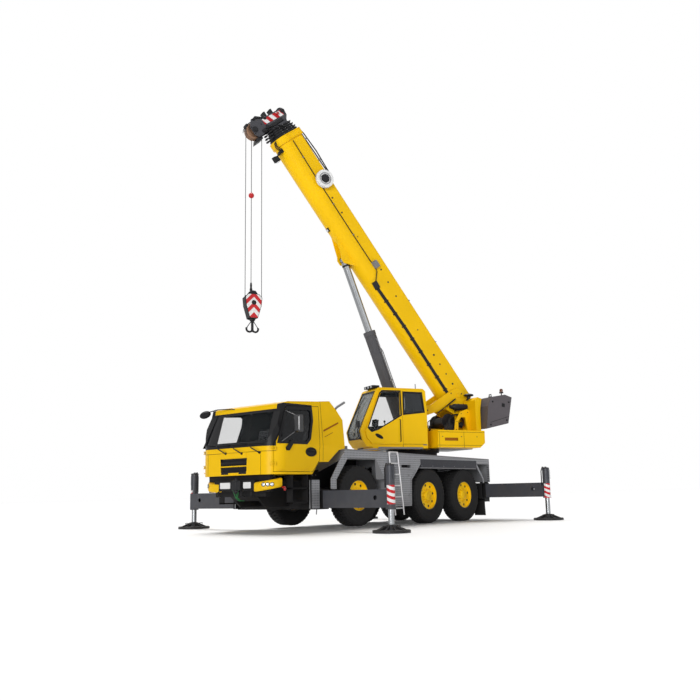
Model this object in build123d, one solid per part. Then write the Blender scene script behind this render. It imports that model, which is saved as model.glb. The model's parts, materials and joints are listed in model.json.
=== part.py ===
from build123d import *
import math
import os

# Three-axle all-terrain mobile crane on its outriggers.
# Millimetres. +X is the driving direction, +Y the vehicle's left, +Z up, ground at z = 0.
# Everything is drawn about the slewing axis, then moved so that the origin is the middle of the footprint.

os.makedirs("parts", exist_ok=True)

# ---- running clearances -------------------------------------------------
SEAT = 0.3
FIT = 0.05
RUN = 6.0

# ---- carrier ------------------------------------------------------------
half_width = 1275.0
skirt_t = 20.0
tail_x = -1870.0
deck_front_x = 4330.0
deck_rear_z = 1650.0
deck_front_z = 1770.0
deck_t = 25.0
rail_half_y = 430.0
rail_bottom_z = 930.0
rail_top_z = 1330.0
nose_bottom_z = 540.0
nose_top_z = 1095.0
nose_front_x = 6250.0
rail_front_x = 4560.0
pedestal_r = 660.0
pedestal_flange_r = 720.0
pedestal_top_z = 1895.0

# axle rows: x, centre height, largest steering angle
axle_rows = [
    ("1", 3780.0, 736.0, 33.0),
    ("2", 1020.0, 692.0, 18.0),
    ("3", -630.0, 690.0, 20.0),
]
tyre_r = 685.0
tyre_w = 374.0
bead_r = 345.0
wheel_y = half_width - 225.0
kingpin_y = wheel_y - 105.0
yoke_y = kingpin_y - 145.0
kingpin_r = 58.0
kingpin_half = 165.0
yoke_t = 28.0
yoke_half_x = 80.0
axle_tube_r = 95.0
diff_r = 180.0
spindle_r = 95.0
drum_r = 225.0
rim_disc_y = 70.0
rim_disc_t = 22.0
hub_cap_r = 120.0

# outrigger rows: name, x of the beam pair, beam underside, side
front_jack_x = 5058.0
rear_jack_x = -1650.0
front_beam_z = 490.0
rear_beam_z = 600.0
beam_h = 370.0
beam_w = 160.0
beam_wall = 14.0
box_wall = 20.0
jack_y = 3117.0
beam_tail_y = 530.0
jack_top_z = 1330.0
jack_tube_r = 92.0
jack_bore_r = 72.0
jack_rod_r = 62.0
pad_r = 385.0
pad_t = 28.0
pad_hub_z = 150.0
front_jack_stroke = 300.0
rear_jack_stroke = 410.0

# ---- carrier cab --------------------------------------------------------
cab_half_y = 1200.0
cab_wall = 45.0
hinge_y = cab_half_y - 60.0
hinge_r = 11.0
floor_z = 1210.0
cab_front_x = 6500.0
cab_corner_r = 400.0
hinge_x = cab_front_x - 150.0
belt_z = 1840.0
roof_z = 2850.0
cab_lean = 125.0
screen_half = cab_half_y - 200.0
door_gap = 10.0
mirror_r = 12.0

# ---- superstructure, in its own frame: +x along the boom, turned by slew_rest
slew_rest = -22.8
cheek_y = 326.0
cheek_t = 40.0
pivot_x = -1340.0
pivot_z = 3440.0
pivot_pin_r = 60.0
foot_x = 262.0
foot_z = 2420.0
foot_pin_r = 50.0
foot_eye_r = 92.0
bed_bottom_z = pedestal_top_z + SEAT
bed_top_z = 1958.0
bed_plate_z = 1924.0
side_y = 1220.0
opcab_wall = 38.0
opcab_floor_z = 1930.0
opcab_inner_y = 425.0
opcab_outer_y = 1235.0

# ---- boom, drawn level along +x from its pivot, then luffed ---------------
luff_rest = 53.6
boom_w = 635.0
boom_h = 797.0
boom_wall = 8.0
section_step = 40.0
section_count = 5
base_front_s = 8680.0
base_rear_s = -300.0
collar_len = 45.0
collar_pitch = 62.0
section_rear_s = 420.0
section_stroke = 6400.0
lug_s = 4980.0
lug_t = -500.0
rod_eye_r = 90.0
eye_pin_r = 40.0
barrel_r = 155.0
barrel_bore_r = 118.0
rod_r = 98.0
eye_half = rod_r - 13.0
foot_half = barrel_r + 25.0
barrel_neck = 220.0
barrel_len = 2920.0
piston_len = 50.0
rod_in = 900.0
head_sheave_s = 9200.0
head_sheave_t = -700.0
head_pin_r = 45.0
sheave_r = 225.0
rope_r = 9.0
block_top_z = 5900.0
hook_bottom_z = 4890.0
hook_ring_r = 80.0
hook_stock_r = 26.0

cos_l = math.cos(math.radians(luff_rest))
sin_l = math.sin(math.radians(luff_rest))


def block(x0, x1, y0, y1, z0, z1):
    return Pos((x0 + x1) / 2, (y0 + y1) / 2, (z0 + z1) / 2) * Box(x1 - x0, y1 - y0, z1 - z0)


def side_plate(outline, y0, y1):
    """A plate whose outline is given in x, z and which fills y0 to y1."""
    face = make_face(Polyline(outline, close=True))
    return Pos(0, y1, 0) * extrude(Plane.XZ * face, amount=y1 - y0)


def plan_plate(outline, z0, z1):
    face = make_face(Polyline(outline, close=True))
    return Pos(0, 0, z0) * extrude(face, amount=z1 - z0)


def cross_plate(outline, x0, x1):
    """A plate whose outline is given in y, z and which fills x0 to x1."""
    face = make_face(Polyline(outline, close=True))
    return Pos(x0, 0, 0) * extrude(Plane.YZ * face, amount=x1 - x0)


def bar(start, end, radius):
    way = Vector(*end) - Vector(*start)
    return extrude(Plane(origin=start, z_dir=way) * Circle(radius), amount=way.length)


def pin_y(x, z, radius, y0, y1):
    return bar((x, y0, z), (x, y1, z), radius)


def mirrored(shape):
    return mirror(shape, about=Plane.XZ)


def fused(shapes):
    whole = shapes[0]
    for shape in shapes[1:]:
        whole = whole + shape
    return whole


# ---- where the pieces end up ----------------------------------------------
turn = Rot(0, 0, slew_rest)
luff = Pos(pivot_x, 0, pivot_z) * Rot(0, -luff_rest, 0)
weight_rear_x = -2560.0
weight_half_y = 1200.0
bumper_front_x = 6560.0
slew_rad = math.radians(slew_rest)
rear_most = weight_rear_x * math.cos(slew_rad) + weight_half_y * math.sin(slew_rad)
centre_x = (bumper_front_x + rear_most) / 2


def write(name, shapes, place=None):
    shapes = shapes if isinstance(shapes, list) else [shapes]
    placed = [Pos(-centre_x, 0, 0) * ((place * shape) if place else shape) for shape in shapes]
    solids = [solid for shape in placed for solid in shape.solids()]
    export_step(solids[0] if len(solids) == 1 else Compound(children=solids), f"parts/{name}.step")


def deck_z(x):
    share = (x - tail_x) / (deck_front_x - tail_x)
    return deck_rear_z + share * (deck_front_z - deck_rear_z)


# ---- chassis ----------------------------------------------------------------
def outrigger_box(x, beam_z):
    half_x = beam_w + RUN * 2 + box_wall * 1.5
    outer = block(x - half_x, x + half_x, -half_width + 25, half_width - 25,
                  beam_z - RUN - box_wall, beam_z + beam_h + RUN + box_wall)
    for side in (-1, 1):
        cell_x = x + side * (beam_w / 2 + RUN + box_wall / 2)
        outer -= block(cell_x - beam_w / 2 - RUN, cell_x + beam_w / 2 + RUN, -half_width, half_width,
                       beam_z - RUN, beam_z + beam_h + RUN)
    for side in (-1, 1):
        bx = lane_x(x, side)
        y0, y1 = sorted((side * (half_width - 130), side * (half_width - 30)))
        outer += block(bx - 60, bx + 60, y0, y1, beam_z - RUN, beam_z - SEAT)
    return outer


def chassis_frame():
    rails = block(tail_x + 30, rail_front_x, -rail_half_y, rail_half_y, rail_bottom_z, rail_top_z)
    nose = side_plate([(rail_front_x - 200, nose_bottom_z), (nose_front_x - 300, nose_bottom_z),
                       (nose_front_x, nose_bottom_z + 260), (nose_front_x, nose_top_z),
                       (rail_front_x - 200, nose_top_z)], -rail_half_y, rail_half_y)
    nose -= block(nose_front_x - 900, nose_front_x - 150, -rail_half_y + 60, rail_half_y - 60,
                  nose_bottom_z - 1, nose_top_z - 60)
    pedestal = extrude(Pos(0, 0, rail_top_z) * Circle(pedestal_r), amount=pedestal_top_z - rail_top_z)
    flange = extrude(Pos(0, 0, pedestal_top_z - 60) * Circle(pedestal_flange_r), amount=60)
    frame = fused([rails, nose, pedestal, flange])
    for x in (5480.0, 6170.0):
        for y in (-330, 330):
            frame += bar((x, y, nose_top_z - 2), (x, y, floor_z - SEAT), 62)
    for x, beam_z in ((front_jack_x, front_beam_z), (rear_jack_x, rear_beam_z)):
        half_x = beam_w + RUN * 2 + box_wall * 1.5
        frame -= block(x - half_x, x + half_x, -half_width, half_width, beam_z - RUN, beam_z + beam_h + RUN)
        frame += outrigger_box(x, beam_z)
    plate_x = front_jack_x + beam_w + RUN * 2 + box_wall * 1.5
    for side in (-1, 1):
        y0, y1 = sorted((side * (half_width - 60), side * (half_width - 25)))
        frame += block(plate_x - 5, plate_x + 140, y0, y1, 480, 1090)
    return frame


def deck_and_guards():
    deck = side_plate([(tail_x, deck_rear_z), (deck_front_x, deck_front_z),
                       (deck_front_x, deck_front_z - deck_t), (tail_x, deck_rear_z - deck_t)],
                      -half_width, half_width)
    pieces = [deck]
    for x in (tail_x + 30, 175.0, 1850.0, 2830.0, deck_front_x - 30):
        top = deck_z(x) - deck_t / 2
        pieces.append(cross_plate([(-rail_half_y, rail_top_z - 40), (-half_width + 10, top - 160),
                                   (-half_width + 10, top), (half_width - 10, top),
                                   (half_width - 10, top - 160), (rail_half_y, rail_top_z - 40)],
                                  x - 10, x + 10))
    well = extrude(Pos(0, 0, rail_top_z - 100) * Circle(pedestal_flange_r + 20), amount=500)
    pieces = [fused(pieces) - well]
    tail = cross_plate([(-half_width, 1020), (-half_width, deck_rear_z), (half_width, deck_rear_z),
                        (half_width, 1020)], tail_x, tail_x + 20)
    pieces.append(tail)
    inner_y = half_width - skirt_t
    arch_plates = [
        [(4330, 1770), (4330, 1690), (4220, 1580), (4620, 1100), (4620, 890), (4800, 890),
         (4800, 1110), (4440, 1600), (4330, 1690)],
        [(4330, 1769), (2780, 1739), (2780, 1560), (3230, 1580), (4220, 1580), (4360, 1600)],
        [(3240, 1590), (2900, 1110), (2780, 1110), (2780, 1600)],
        [(1430, 1713), (-1180, 1663), (-1180, 1395), (1430, 1395)],
        [(-1140, 1500), (-1500, 1085), (-1505, 1000), (-1560, 1000), (-1555, 1105), (-1180, 1560)],
        [(-1160, 1663), (tail_x, deck_rear_z), (tail_x, 1510), (-1180, 1510)],
    ]
    for outline in arch_plates:
        plate = side_plate(outline, inner_y, half_width)
        pieces += [plate, mirrored(plate)]
    locker = side_plate([(2860, 460), (1850, 460), (1820, 1090), (1580, 1320), (1400, 1510),
                         (1400, 1712), (2860, 1740)], 850, half_width)
    locker -= side_plate([(2230, 1380), (1860, 1380), (1860, 1450), (2230, 1450)], half_width - 120,
                         half_width + 1)
    pieces += [locker, mirrored(locker)]
    for x0, x1, z in ((3180, 4280, 1560), (-1200, 1440, 1480)):
        guard = block(x0, x1, 840, half_width - 5, z, z + 12)
        pieces += [guard, mirrored(guard)]
        leg = block(x0, x0 + 12, 840, half_width - 5, z, deck_z(x0) - deck_t / 2)
        pieces += [leg, mirrored(leg)]
    ladder = fused([bar((2560 + d, half_width + 12, 1745), (2560 + d, half_width + 160, 260), 16)
                    for d in (-170, 170)]
                   + [bar((2390, half_width + 12 + k * 26.5, 1745 - k * 265),
                          (2730, half_width + 12 + k * 26.5, 1745 - k * 265), 14) for k in range(6)]
                   + [block(2400, 2430, half_width - 10, half_width + 25, 1690, 1740),
                      block(2690, 2720, half_width - 10, half_width + 25, 1690, 1740)])
    pieces += [ladder, mirrored(ladder)]
    return fused(pieces) - block(tail_x, rail_front_x + SEAT, -rail_half_y - SEAT, rail_half_y + SEAT,
                                 rail_bottom_z, rail_top_z + SEAT)


def axle_beams():
    pieces = []
    for _, x, z, _ in axle_rows:
        axle = bar((x, 20 - yoke_y, z), (x, yoke_y - 20, z), axle_tube_r)
        axle += bar((x, -210, z), (x, 210, z), diff_r)
        for side in (-1, 1):
            y0, y1 = sorted((side * (yoke_y - 30), side * yoke_y))
            plate_z = kingpin_half + SEAT
            axle += block(x - yoke_half_x, x + yoke_half_x, y0, y1, z - plate_z - yoke_t, z + plate_z + yoke_t)
            y0, y1 = sorted((side * (yoke_y - 10), side * (kingpin_y + 45)))
            for z0 in (z + plate_z, z - plate_z - yoke_t):
                axle += block(x - yoke_half_x, x + yoke_half_x, y0, y1, z0, z0 + yoke_t)
            axle += bar((x, side * 340, z), (x, side * 340, rail_bottom_z - SEAT), 60)
        pieces.append(axle)
    return pieces


def knuckle(x, z, side):
    """King-pin barrel, spindle and brake drum of one wheel."""
    y = side * kingpin_y
    barrel = bar((x, y, z - kingpin_half), (x, y, z + kingpin_half), kingpin_r)
    spindle = bar((x, y, z), (x, side * (wheel_y + rim_disc_y + rim_disc_t + 10), z), spindle_r)
    drum = bar((x, side * (kingpin_y + 88), z), (x, side * (wheel_y + rim_disc_y - 12), z), drum_r)
    return barrel + spindle + drum


def wheel_ring(profile, x, z, side):
    face = make_face(Polyline([(r, y) for r, y in profile], close=True))
    ring = revolve(Plane.XY * face, axis=Axis.Y)
    if side < 0:
        ring = mirrored(ring)
    return Pos(x, side * wheel_y, z) * ring


def rim(x, z, side):
    half = tyre_w / 2 - 32
    band = [(bead_r - 22, -half), (bead_r + 18, -half), (bead_r + 18, -half + 10), (bead_r, -half + 14),
            (bead_r, half - 14), (bead_r + 18, half - 10), (bead_r + 18, half), (bead_r - 22, half)]
    disc = [(spindle_r + FIT, rim_disc_y), (bead_r - 10, rim_disc_y - 8),
            (bead_r - 10, rim_disc_y + rim_disc_t - 8), (spindle_r + 50, rim_disc_y + rim_disc_t),
            (spindle_r + FIT, rim_disc_y + rim_disc_t)]
    cap = [(0, rim_disc_y + rim_disc_t + 16), (hub_cap_r - 20, rim_disc_y + rim_disc_t + 16),
           (hub_cap_r - 20, rim_disc_y + rim_disc_t - 4), (hub_cap_r + 12, rim_disc_y + rim_disc_t - 4),
           (hub_cap_r, rim_disc_y + rim_disc_t + 40), (hub_cap_r - 30, rim_disc_y + rim_disc_t + 56),
           (0, rim_disc_y + rim_disc_t + 60)]
    return fused([wheel_ring(p, x, z, side) for p in (band, disc, cap)])


def tyre(x, z, side):
    half = tyre_w / 2
    b = bead_r + SEAT
    right = [(b, half - 46.5), (b + 18.3, half - 42.5), (b + 60, half - 12), (b + 150, half), (b + 235, half - 8),
             (tyre_r - 38, half - 18), (tyre_r - 6, half - 44), (tyre_r, half - 80)]
    profile = right + [(r, -y) for r, y in reversed(right)]
    return wheel_ring(profile, x, z, side)


# ---- outriggers ---------------------------------------------------------------
def lane_x(x, side):
    """The beams of one end lie side by side, the left one behind the right one."""
    return x - side * (beam_w / 2 + RUN + box_wall / 2)


def outrigger_beam(x, beam_z, side):
    bx = lane_x(x, side)
    head_y = jack_y - jack_tube_r + 40
    y0, y1 = sorted((side * beam_tail_y, side * head_y))
    beam = block(bx - beam_w / 2, bx + beam_w / 2, y0, y1, beam_z, beam_z + beam_h)
    y0, y1 = sorted((side * (beam_tail_y - 1), side * (jack_y - jack_tube_r - 60)))
    beam -= block(bx - beam_w / 2 + beam_wall, bx + beam_w / 2 - beam_wall, y0, y1,
                  beam_z + beam_wall, beam_z + beam_h - beam_wall)
    y0, y1 = sorted((side * (beam_tail_y + 5), side * (beam_tail_y + 120)))
    beam += block(bx - 60, bx + 60, y0, y1, beam_z + beam_h, beam_z + beam_h + RUN - SEAT)
    y = side * jack_y
    beam += bar((x, y, beam_z - 30), (x, y, jack_top_z), jack_tube_r)
    beam += bar((x, y, beam_z - 30), (x, y, beam_z + 30), jack_tube_r + 14)
    grip = side * (jack_y - 420)
    beam -= bar((bx - 200, grip, beam_z + beam_h * 0.55), (bx + 200, grip, beam_z + beam_h * 0.55), 48)
    return beam - bar((x, y, beam_z - 31), (x, y, jack_top_z - 30), jack_bore_r)


def jack_leg(x, side, stroke):
    y = side * jack_y
    top_z = jack_top_z - 60 - stroke
    rod = bar((x, y, pad_hub_z - 20), (x, y, top_z), jack_rod_r)
    piston = bar((x, y, top_z - 90), (x, y, top_z), jack_bore_r - SEAT)
    profile = make_face(Polyline([(0, 0), (pad_r, 0), (pad_r, pad_t), (pad_r - 25, pad_t + 6),
                                  (150, pad_t + 46), (110, pad_hub_z), (0, pad_hub_z)], close=True))
    pad = Pos(x, y, 0) * revolve(Plane.XZ * profile, axis=Axis.Z)
    return rod + piston + pad


# ---- carrier cab ----------------------------------------------------------------
cab_outline = [(cab_front_x, floor_z), (cab_front_x, 1820), (6190, 2530), (6165, 2690), (5930, 2755),
               (5000, 2815), (4600, roof_z), (4400, 2660), (4215, 2440), (4235, 1790), (4440, 1750),
               (4800, 1480), (5100, 1480), (5320, floor_z)]
door_outline = [(6370, 1262), (6370, belt_z), (6065, 2560), (6010, 2650), (4990, 2700), (5090, 1500),
                (5300, 1262)]
door_window = [(6300, 1885), (6040, 2490), (5985, 2580), (5310, 2620), (5245, 2570), (5250, 2380),
               (5370, 1980), (5480, 1885)]
grille_rows = [(1290, 1450), (1500, 1670)]
grille_half = 415.0
grille_depth = 28.0


def cab_solid(inset):
    side = make_face(Polyline(cab_outline, close=True))
    if inset:
        side = offset(side, amount=-inset)
    body = Pos(0, cab_half_y, 0) * extrude(Plane.XZ * side, amount=2 * cab_half_y)
    plan = Pos((cab_front_x + 4000) / 2, 0) * Rectangle(cab_front_x - 4000, 2 * cab_half_y)
    plan = fillet(plan.vertices().sort_by(Axis.X)[-2:], cab_corner_r)
    if inset:
        plan = offset(plan, amount=-inset)
    top_z = roof_z + 200
    lean = cab_half_y - cab_lean * (top_z - belt_z) / (roof_z - belt_z)
    front = make_face(Polyline([(-cab_half_y, 500), (-cab_half_y, belt_z), (-lean, top_z), (lean, top_z),
                                (cab_half_y, belt_z), (cab_half_y, 500)], close=True))
    if inset:
        front = offset(front, amount=-inset)
    tunnel = Pos(3000, 0, 0) * extrude(Plane.YZ * front, amount=4000)
    return body & extrude(plan, amount=4000) & tunnel


def door_prism(outline, grow, y0, y1):
    face = offset(make_face(Polyline(outline, close=True)), amount=grow) if grow else make_face(
        Polyline(outline, close=True))
    return Pos(0, y1, 0) * extrude(Plane.XZ * face, amount=y1 - y0)


def door_zone(grow, side, depth):
    """The room a door takes in the side wall; behind the corner it is no deeper than the wall and depth."""
    y0, y1 = sorted((side * (cab_half_y - 300), side * (cab_half_y + 10)))
    zone = door_prism(door_outline, grow, y0, y1)
    reach = side * (cab_half_y - cab_wall - depth)
    y0, y1 = sorted((0, reach))
    return zone - block(4000, cab_front_x - cab_corner_r, y0, y1, floor_z, belt_z - 200)


def hinge_ears(side, z):
    """Two ears with a pin between them, on the cab's corner post."""
    y = side * hinge_y
    root_y = side * (hinge_y - 90)
    ears = []
    for z0 in (z - 34, z + 18):
        plan = [(hinge_x + 34, root_y), (hinge_x + 78, root_y), (hinge_x + 44, y), (hinge_x, y + side * 12),
                (hinge_x, y - side * 6), (hinge_x + 26, y - side * 18)]
        ears.append(plan_plate(plan, z0, z0 + 16))
        ears.append(bar((hinge_x, y, z0), (hinge_x, y, z0 + 16), hinge_r + 7))
    ears.append(bar((hinge_x, y, z - 20), (hinge_x, y, z + 20), hinge_r - FIT))
    return fused(ears) - cab_solid(cab_wall / 2)


def hinge_eye(side, z):
    y = side * hinge_y
    half = 18 - SEAT
    plan = [(hinge_x - 75, side * (hinge_y - 45)), (hinge_x - 60, side * (hinge_y - 20)), (hinge_x, y + side * 12),
            (hinge_x, y - side * 12), (hinge_x - 45, side * (hinge_y - 50))]
    eye = plan_plate(plan, z - half, z + half) + bar((hinge_x, y, z - half), (hinge_x, y, z + half), hinge_r + 8)
    eye -= bar((hinge_x, y, z - half - 1), (hinge_x, y, z + half + 1), hinge_r)
    return eye - cab_solid(cab_wall / 2)


def carrier_cab_pieces():
    outer = cab_solid(0)
    wall = outer - cab_solid(cab_wall)
    screen = [(-screen_half, 1880), (-screen_half + 70, 2560), (screen_half - 70, 2560), (screen_half, 1880)]
    windscreen_hole = cross_plate(screen, 5900, cab_front_x + 100)
    rear_hole = cross_plate([(-450, 2000), (-450, 2420), (450, 2420), (450, 2000)], 4200, 4420)
    shell = wall - windscreen_hole - rear_hole
    for z0, z1 in grille_rows:
        shell -= block(cab_front_x - grille_depth, cab_front_x + 1, -grille_half, grille_half, z0, z1)
    doors = []
    panes = []
    for side in (-1, 1):
        y0, y1 = sorted((side * (cab_half_y - 300), side * (cab_half_y + 10)))
        shell -= door_zone(door_gap / 2, side, RUN + 2)
        door = wall & door_zone(-door_gap / 2, side, 0)
        door -= door_prism(door_window, 0, y0, y1)
        for z in (1420, 1740):
            shell += hinge_ears(side, z)
            door += hinge_eye(side, z)
        doors.append(door)
        mid = cab_solid(cab_wall / 2 - 3) - cab_solid(cab_wall / 2 + 3)
        panes.append(mid & door_prism(door_window, -SEAT, y0, y1))
    glass = cab_solid(cab_wall / 2 - 3) - cab_solid(cab_wall / 2 + 3)
    pane = [(y - math.copysign(SEAT, y), z + (SEAT if z < 2000 else -SEAT)) for y, z in screen]
    front_glass = glass & cross_plate(pane, 5900, cab_front_x + 100)
    rear_glass = glass & cross_plate([(-450 + SEAT, 2000 + SEAT), (-450 + SEAT, 2420 - SEAT),
                                      (450 - SEAT, 2420 - SEAT), (450 - SEAT, 2000 + SEAT)], 4200, 4420)
    return shell, doors, panes, [front_glass, rear_glass]


def cab_interior():
    inner_floor = floor_z + cab_wall + SEAT
    dash = side_plate([(6390, 1500), (6400, 1830), (6150, 1850), (5980, 1780), (6050, 1500), (6200, inner_floor),
                       (6400, inner_floor)], -screen_half + 60, screen_half - 60)
    wheel = Pos(5900, 480, 1900) * Rot(0, -35, 0) * (Torus(210, 16) + Box(400, 26, 14) + Cylinder(45, 30))
    wheel += bar((5910, 480, 1890), (6080, 480, 1700), 28)
    return dash + wheel


def cab_seats():
    inner_floor = floor_z + cab_wall + SEAT
    pieces = []
    for y in (480, -480):
        seat = block(5180, 5650, y - 230, y + 230, 1560, 1680)
        seat += side_plate([(5130, 1600), (5250, 1600), (5140, 2300), (5040, 2300)], y - 210, y + 210)
        seat += block(5420, 5600, y - 150, y + 150, inner_floor, 1570)
        pieces.append(seat)
    return pieces


def front_bumper():
    rear_x = bumper_front_x - 270
    plan = Pos((bumper_front_x + rear_x) / 2, 0) * Rectangle(bumper_front_x - rear_x, 2 * cab_half_y + 20)
    plan = fillet(plan.vertices().sort_by(Axis.X)[-2:], 260)
    body = Pos(0, 0, 850) * extrude(plan, amount=300)
    body -= block(rear_x - 1, bumper_front_x - 180, -rail_half_y - 200, rail_half_y + 200, 800, 1300)
    body -= block(bumper_front_x - 80, bumper_front_x + 40, -560, 560, 800, 1300)
    body += block(nose_front_x + SEAT, bumper_front_x - 160, -rail_half_y, rail_half_y, 900, 1080)
    return body


def front_mirror():
    """Kerb mirror on an arm from the roof's front edge."""
    arm = bar((6150, -320, 2660), (6330, -760, 2690), mirror_r) + bar((6330, -760, 2690), (6495, -985, 2610), mirror_r)
    arm += Pos(6330, -760, 2690) * Sphere(mirror_r)
    head = Pos(6500, -990, 2585) * Rot(0, 0, -38) * (Cylinder(80, 50, rotation=(0, 90, 0)) + Box(50, 130, 160)
                                                      + Pos(0, 65, 0) * Cylinder(80, 50, rotation=(0, 90, 0))
                                                      + Pos(0, -65, 0) * Cylinder(80, 50, rotation=(0, 90, 0)))
    return (arm + head) - cab_solid(0)


def door_mirror():
    """Tall mirror on two arms from the left door's frame, which it swings with."""
    y = cab_half_y + 250
    head = block(5950, 6050, y - 80, y + 100, 2070, 2430)
    arm = bar((6250, cab_half_y - 40, 1852), (6010, y, 2120), mirror_r)
    arm += bar((6052, cab_half_y - 100, 2545), (6010, y, 2400), mirror_r)
    return (arm + head) - cab_solid(0)


# ---- superstructure --------------------------------------------------------------
def superstructure_frame():
    ring = extrude(Pos(0, 0, bed_bottom_z) * Circle(pedestal_flange_r - 10), amount=bed_plate_z - bed_bottom_z)
    bed = block(-1560, 240, -620, 620, bed_plate_z - 5, bed_top_z)
    bed += block(200, 900, -620, opcab_inner_y - 10, bed_plate_z - 5, bed_top_z)
    cheek = side_plate([(900, 1930), (900, 2150), (480, 2420), (210, 2980), (-400, 3150), (-1130, 3600),
                        (-1340, 3660), (-1520, 3600), (-1600, 3440), (-1620, 2300), (-1560, 1930)],
                       cheek_y, cheek_y + cheek_t)
    cheek -= side_plate([(100, 2740), (-300, 2870), (-900, 3060), (-1180, 2900), (-1250, 2560), (-900, 2480),
                         (60, 2500)], cheek_y - 1, cheek_y + cheek_t + 1)
    pieces = [ring, bed, cheek, mirrored(cheek)]
    pieces.append(pin_y(pivot_x, pivot_z, pivot_pin_r, -cheek_y - cheek_t - 30, cheek_y + cheek_t + 30))
    for y in (-1, 1):
        y0, y1 = sorted((y * (foot_half + SEAT), y * (foot_half + 36)))
        pieces.append(side_plate([(foot_x + 290, 1940), (foot_x + 95, foot_z + 20), (foot_x + 40, foot_z + 90),
                                  (foot_x - 50, foot_z + 90), (foot_x - 110, foot_z + 10),
                                  (foot_x - 330, 1940)], y0, y1))
    left_box = side_plate([(-40, 1930), (-1400, 1930), (-1560, 2060), (-1560, 2390), (-60, 2390)],
                          600, side_y)
    left_box -= block(-690, -270, side_y - 40, side_y + 1, 2110, 2190)
    right_box = side_plate([(1200, 1930), (-1400, 1930), (-1560, 2060), (-1560, 2560), (1000, 2560),
                            (1200, 2400)], -side_y, -600)
    platform = block(270, 1900, 360, opcab_outer_y, 1900, opcab_floor_z - SEAT)
    arch = side_plate([(-950, 2380), (-1000, 2700), (-1180, 2960), (-1400, 3030), (-1560, 2960), (-1580, 2380)],
                      640, 670)
    arch -= side_plate([(-1090, 2440), (-1090, 2680), (-1190, 2800), (-1330, 2800), (-1390, 2440)], 630, 680)
    tail = block(-1660, -1500, -620, 620, 2350, 2520)
    tower = side_plate([(-1640, 2380), (-1640, 2990), (-1700, 3300), (-1570, 3340), (-1480, 3250), (-1480, 2380)],
                       420, 960)
    tower_tie = block(-1560, -1480, 350, 430, 2400, 3200)
    pieces += [left_box, right_box, platform, arch, mirrored(arch), tail, tower, mirrored(tower), tower_tie,
               mirrored(tower_tie)]
    pieces += [block(-1480, -950, 360, 670, 2380, 2410), block(-1480, -950, -670, -360, 2380, 2410)]
    return fused(pieces)


def counterweight():
    slab = side_plate([(-1660 - SEAT, 2450), (-2400, 2610), (weight_rear_x, 3340), (-2330, 3410),
                       (-1860, 3330), (-1740, 3080)], -weight_half_y, weight_half_y)
    return slab - block(-1900, -1600, -420, 420, 2700, 3600)


def hoist_winch():
    drum_x, drum_z = -1010, 2700
    drum = pin_y(drum_x, drum_z, 150, -cheek_y + SEAT, cheek_y - SEAT)
    for y in (-cheek_y + SEAT, cheek_y - SEAT - 22):
        drum += pin_y(drum_x, drum_z, 225, y, y + 22)
    return drum


opcab_outline = [(2070, opcab_floor_z), (2190, 2080), (2250, 2330), (2150, 2560), (1760, 3400), (1680, 3450), (380, 3460),
                 (300, 3400), (270, 2820), (270, opcab_floor_z)]
opcab_window = [(2060, 2400), (1700, 3300), (1630, 3370), (1080, 3380), (1060, 2740), (1760, 2360), (1950, 2300)]
opcab_rear_window = [(1000, 2750), (1000, 3370), (400, 3370), (330, 2830)]
opcab_door = [(2130, 2330), (2080, 2420), (1660, 3410), (1040, 3420), (1040, 2000), (1940, 2000), (2080, 2160)]


def opcab_solid(inset):
    face = make_face(Polyline(opcab_outline, close=True))
    face = offset(face, amount=-inset) if inset else face
    length = opcab_outer_y - opcab_inner_y - 2 * inset
    return Pos(0, opcab_outer_y - inset, 0) * extrude(Plane.XZ * face, amount=length)


def operator_cab_pieces():
    wall = opcab_solid(0) - opcab_solid(opcab_wall)
    out_y = opcab_outer_y + 1
    in_y = opcab_outer_y - opcab_wall - 1
    front_hole = cross_plate([(opcab_inner_y + 60, 2120), (opcab_inner_y + 60, 3360),
                              (opcab_outer_y - 60, 3360), (opcab_outer_y - 60, 2120)], 1500, 2300)
    side_hole = door_prism(opcab_door, -60, in_y, out_y)
    rear_side_hole = door_prism(opcab_rear_window, 0, in_y, out_y)
    inner_hole = side_plate([(1650, 2500), (1500, 3300), (450, 3320), (450, 2600)],
                            opcab_inner_y - 1, opcab_inner_y + opcab_wall + 1)
    shell = wall - front_hole - side_hole - rear_side_hole - inner_hole
    for z in (1990, 3428):
        shell += block(340, 1700, opcab_outer_y, opcab_outer_y + RUN - SEAT, z - 14, z)
    sheet = opcab_solid(opcab_wall / 2 - 3) - opcab_solid(opcab_wall / 2 + 3)
    glass = [
        sheet & cross_plate([(opcab_inner_y + 60 + SEAT, 2120 + SEAT), (opcab_inner_y + 60 + SEAT, 3360 - SEAT),
                             (opcab_outer_y - 60 - SEAT, 3360 - SEAT), (opcab_outer_y - 60 - SEAT, 2120 + SEAT)],
                            1500, 2300),
        sheet & door_prism(opcab_rear_window, -SEAT, in_y, out_y),
        sheet & door_prism([(1650, 2500), (1500, 3300), (450, 3320), (450, 2600)], -SEAT,
                           opcab_inner_y - 1, opcab_inner_y + opcab_wall + 1),
    ]
    door_y = opcab_outer_y + RUN
    door = door_prism(opcab_door, 0, door_y, door_y + 30) - door_prism(opcab_window, 0, door_y - 1, door_y + 31)
    pane = door_prism(opcab_window, -SEAT, door_y + 12, door_y + 18)
    seat = block(720, 1180, 620, 1060, 2250, 2380)
    seat += side_plate([(640, 2300), (780, 2300), (660, 3050), (560, 3050)], 640, 1040)
    seat += block(800, 1100, 740, 940, opcab_floor_z + opcab_wall + SEAT, 2260)
    seat += block(1500, 1750, 700, 980, opcab_floor_z + opcab_wall + SEAT, 2500)
    seat += block(1050, 1550, 760, 900, opcab_floor_z + opcab_wall + SEAT, 2040)
    return shell, glass, door, pane, seat


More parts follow.
